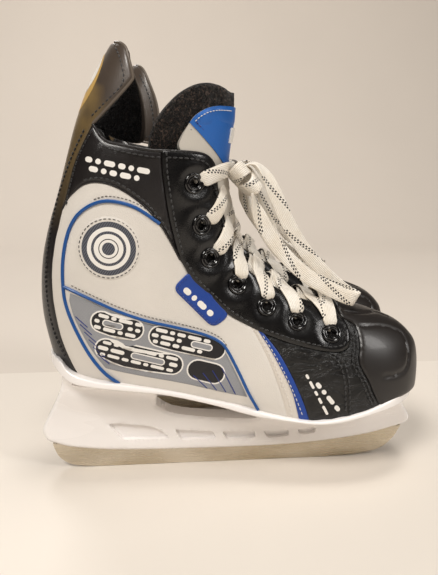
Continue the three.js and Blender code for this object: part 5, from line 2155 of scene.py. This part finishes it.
# %% Insole board
def board_fibre():
    finish = Finish("pressed fibre board", rgb(138, 127, 112), 0.9)
    fibres = finish.noise(420.0, 5.0, 0.7, finish.stretched((0.4, 1.0, 1.0)))
    colour = finish.mix(finish.range(fibres, 0.3, 0.7), rgb(120, 108, 92), rgb(158, 146, 128))
    return finish.set(base_color=colour, normal=finish.bump(fibres, 0.0002, 0.6))


BOARD = board_fibre()
for side in SIDES:
    node = bpy.data.objects[f"{side}_insole_board"]
    node.data.materials.clear()
    node.data.materials.append(BOARD)
print("insole boards finished")

# %% [markdown]
# ## Floor, backdrop and light
# A pale cream floor ends close behind the pair, and a warm backdrop carries on from it and
# curves up far behind, so that it hides nothing when the camera goes round. One roll of paper
# could do both jobs, but two strips let the two colours meet where a table would end.

# %% Floor and backdrop
FLOOR_SIZE = 1.2
FLOOR_END = 0.142


def plain(name, colour, roughness):
    finish = Finish(name, colour, roughness)
    mottle = finish.noise(3.0, 3.0)
    grain = finish.noise(160.0, 4.0)
    shade = finish.node("ShaderNodeHueSaturation",
                        {"Value": finish.range(mottle, 0.3, 0.7, 0.985, 1.015), "Color": (*colour, 1.0)})
    return finish.set(base_color=shade.outputs["Color"], normal=finish.bump(grain, 0.0002, 0.15))


def stage_strip(name, profile, material):
    """A strip as wide as the room that follows a profile of (y, z) points."""
    corners = [(side * FLOOR_SIZE, y, z) for y, z in profile for side in (-1, 1)]
    faces = [(2 * k, 2 * k + 1, 2 * k + 3, 2 * k + 2) for k in range(len(profile) - 1)]
    mesh = bpy.data.meshes.new(name)
    mesh.from_pydata(corners, [], faces)
    mesh.shade_smooth()
    mesh.materials.append(material)
    new_object(name, mesh)


floor_z = cad_bounds[0][2] - 0.0002
COVE_START, COVE_RADIUS = 0.9, 0.7
cove = [(COVE_START + COVE_RADIUS * math.sin(a), floor_z + COVE_RADIUS * (1 - math.cos(a)))
        for a in np.linspace(0, math.pi / 2, 24)]
backdrop = [(FLOOR_END, floor_z), *cove, (COVE_START + COVE_RADIUS, FLOOR_SIZE)]
stage_strip("floor", [(-FLOOR_SIZE, floor_z), (FLOOR_END, floor_z)],
            plain("cream floor", rgb(222, 214, 204), 0.5))
stage_strip("backdrop", backdrop, plain("warm backdrop", rgb(212, 203, 193), 0.8))
print("floor and backdrop made")

# %% [markdown]
# Five soft lights: a warm key from the upper left, a weaker fill from the right, one above, one
# behind, and one for the backdrop. The surroundings light the pair faintly, and the camera
# sees them as pale as the backdrop.

# %% Lights
def softbox(name, place, target, size, power, colour):
    data = bpy.data.lights.new(name, "AREA")
    data.shape, data.size, data.energy, data.color = "SQUARE", size, power, colour
    obj = new_object(name, data)
    obj.location = place
    direction = Vector(target) - Vector(place)
    obj.rotation_euler = direction.to_track_quat("-Z", "Y").to_euler()


AIM = (0.0, 0.0, 0.1)
softbox("key light", (-0.8, -1.35, 1.65), AIM, 0.6, 34.0, (1.0, 0.96, 0.905))
softbox("fill light", (1.35, -1.0, 1.1), AIM, 0.5, 13.0, (1.0, 0.97, 0.94))
softbox("top light", (0.3, 0.1, 1.9), AIM, 0.5, 6.0, (1.0, 0.96, 0.905))
softbox("rear light", (-0.5, 1.25, 1.3), AIM, 0.5, 6.0, (1.0, 0.97, 0.94))
softbox("backdrop light", (0.2, -0.2, 2.4), (0.1, 1.6, 0.5), 0.6, 17.0, (1.0, 0.96, 0.905))

SURROUND, SURROUND_SEEN, SURROUND_LIGHT = (1.0, 0.9, 0.79, 1.0), 0.66, 0.08
world = bpy.data.worlds.new("studio")
world.use_nodes = True
surround = world.node_tree.nodes["Background"]
surround.inputs["Color"].default_value = SURROUND
seen = world.node_tree.nodes.new("ShaderNodeLightPath")
strength = world.node_tree.nodes.new("ShaderNodeMapRange")
strength.inputs["To Min"].default_value = SURROUND_LIGHT
strength.inputs["To Max"].default_value = SURROUND_SEEN
world.node_tree.links.new(seen.outputs["Is Camera Ray"], strength.inputs["Value"])
world.node_tree.links.new(strength.outputs["Result"], surround.inputs["Strength"])
bpy.context.scene.world = world
bpy.context.scene.view_settings.view_transform = "Standard"
print(f"faint surroundings: {SURROUND_LIGHT} as light, {SURROUND_SEEN} as seen")
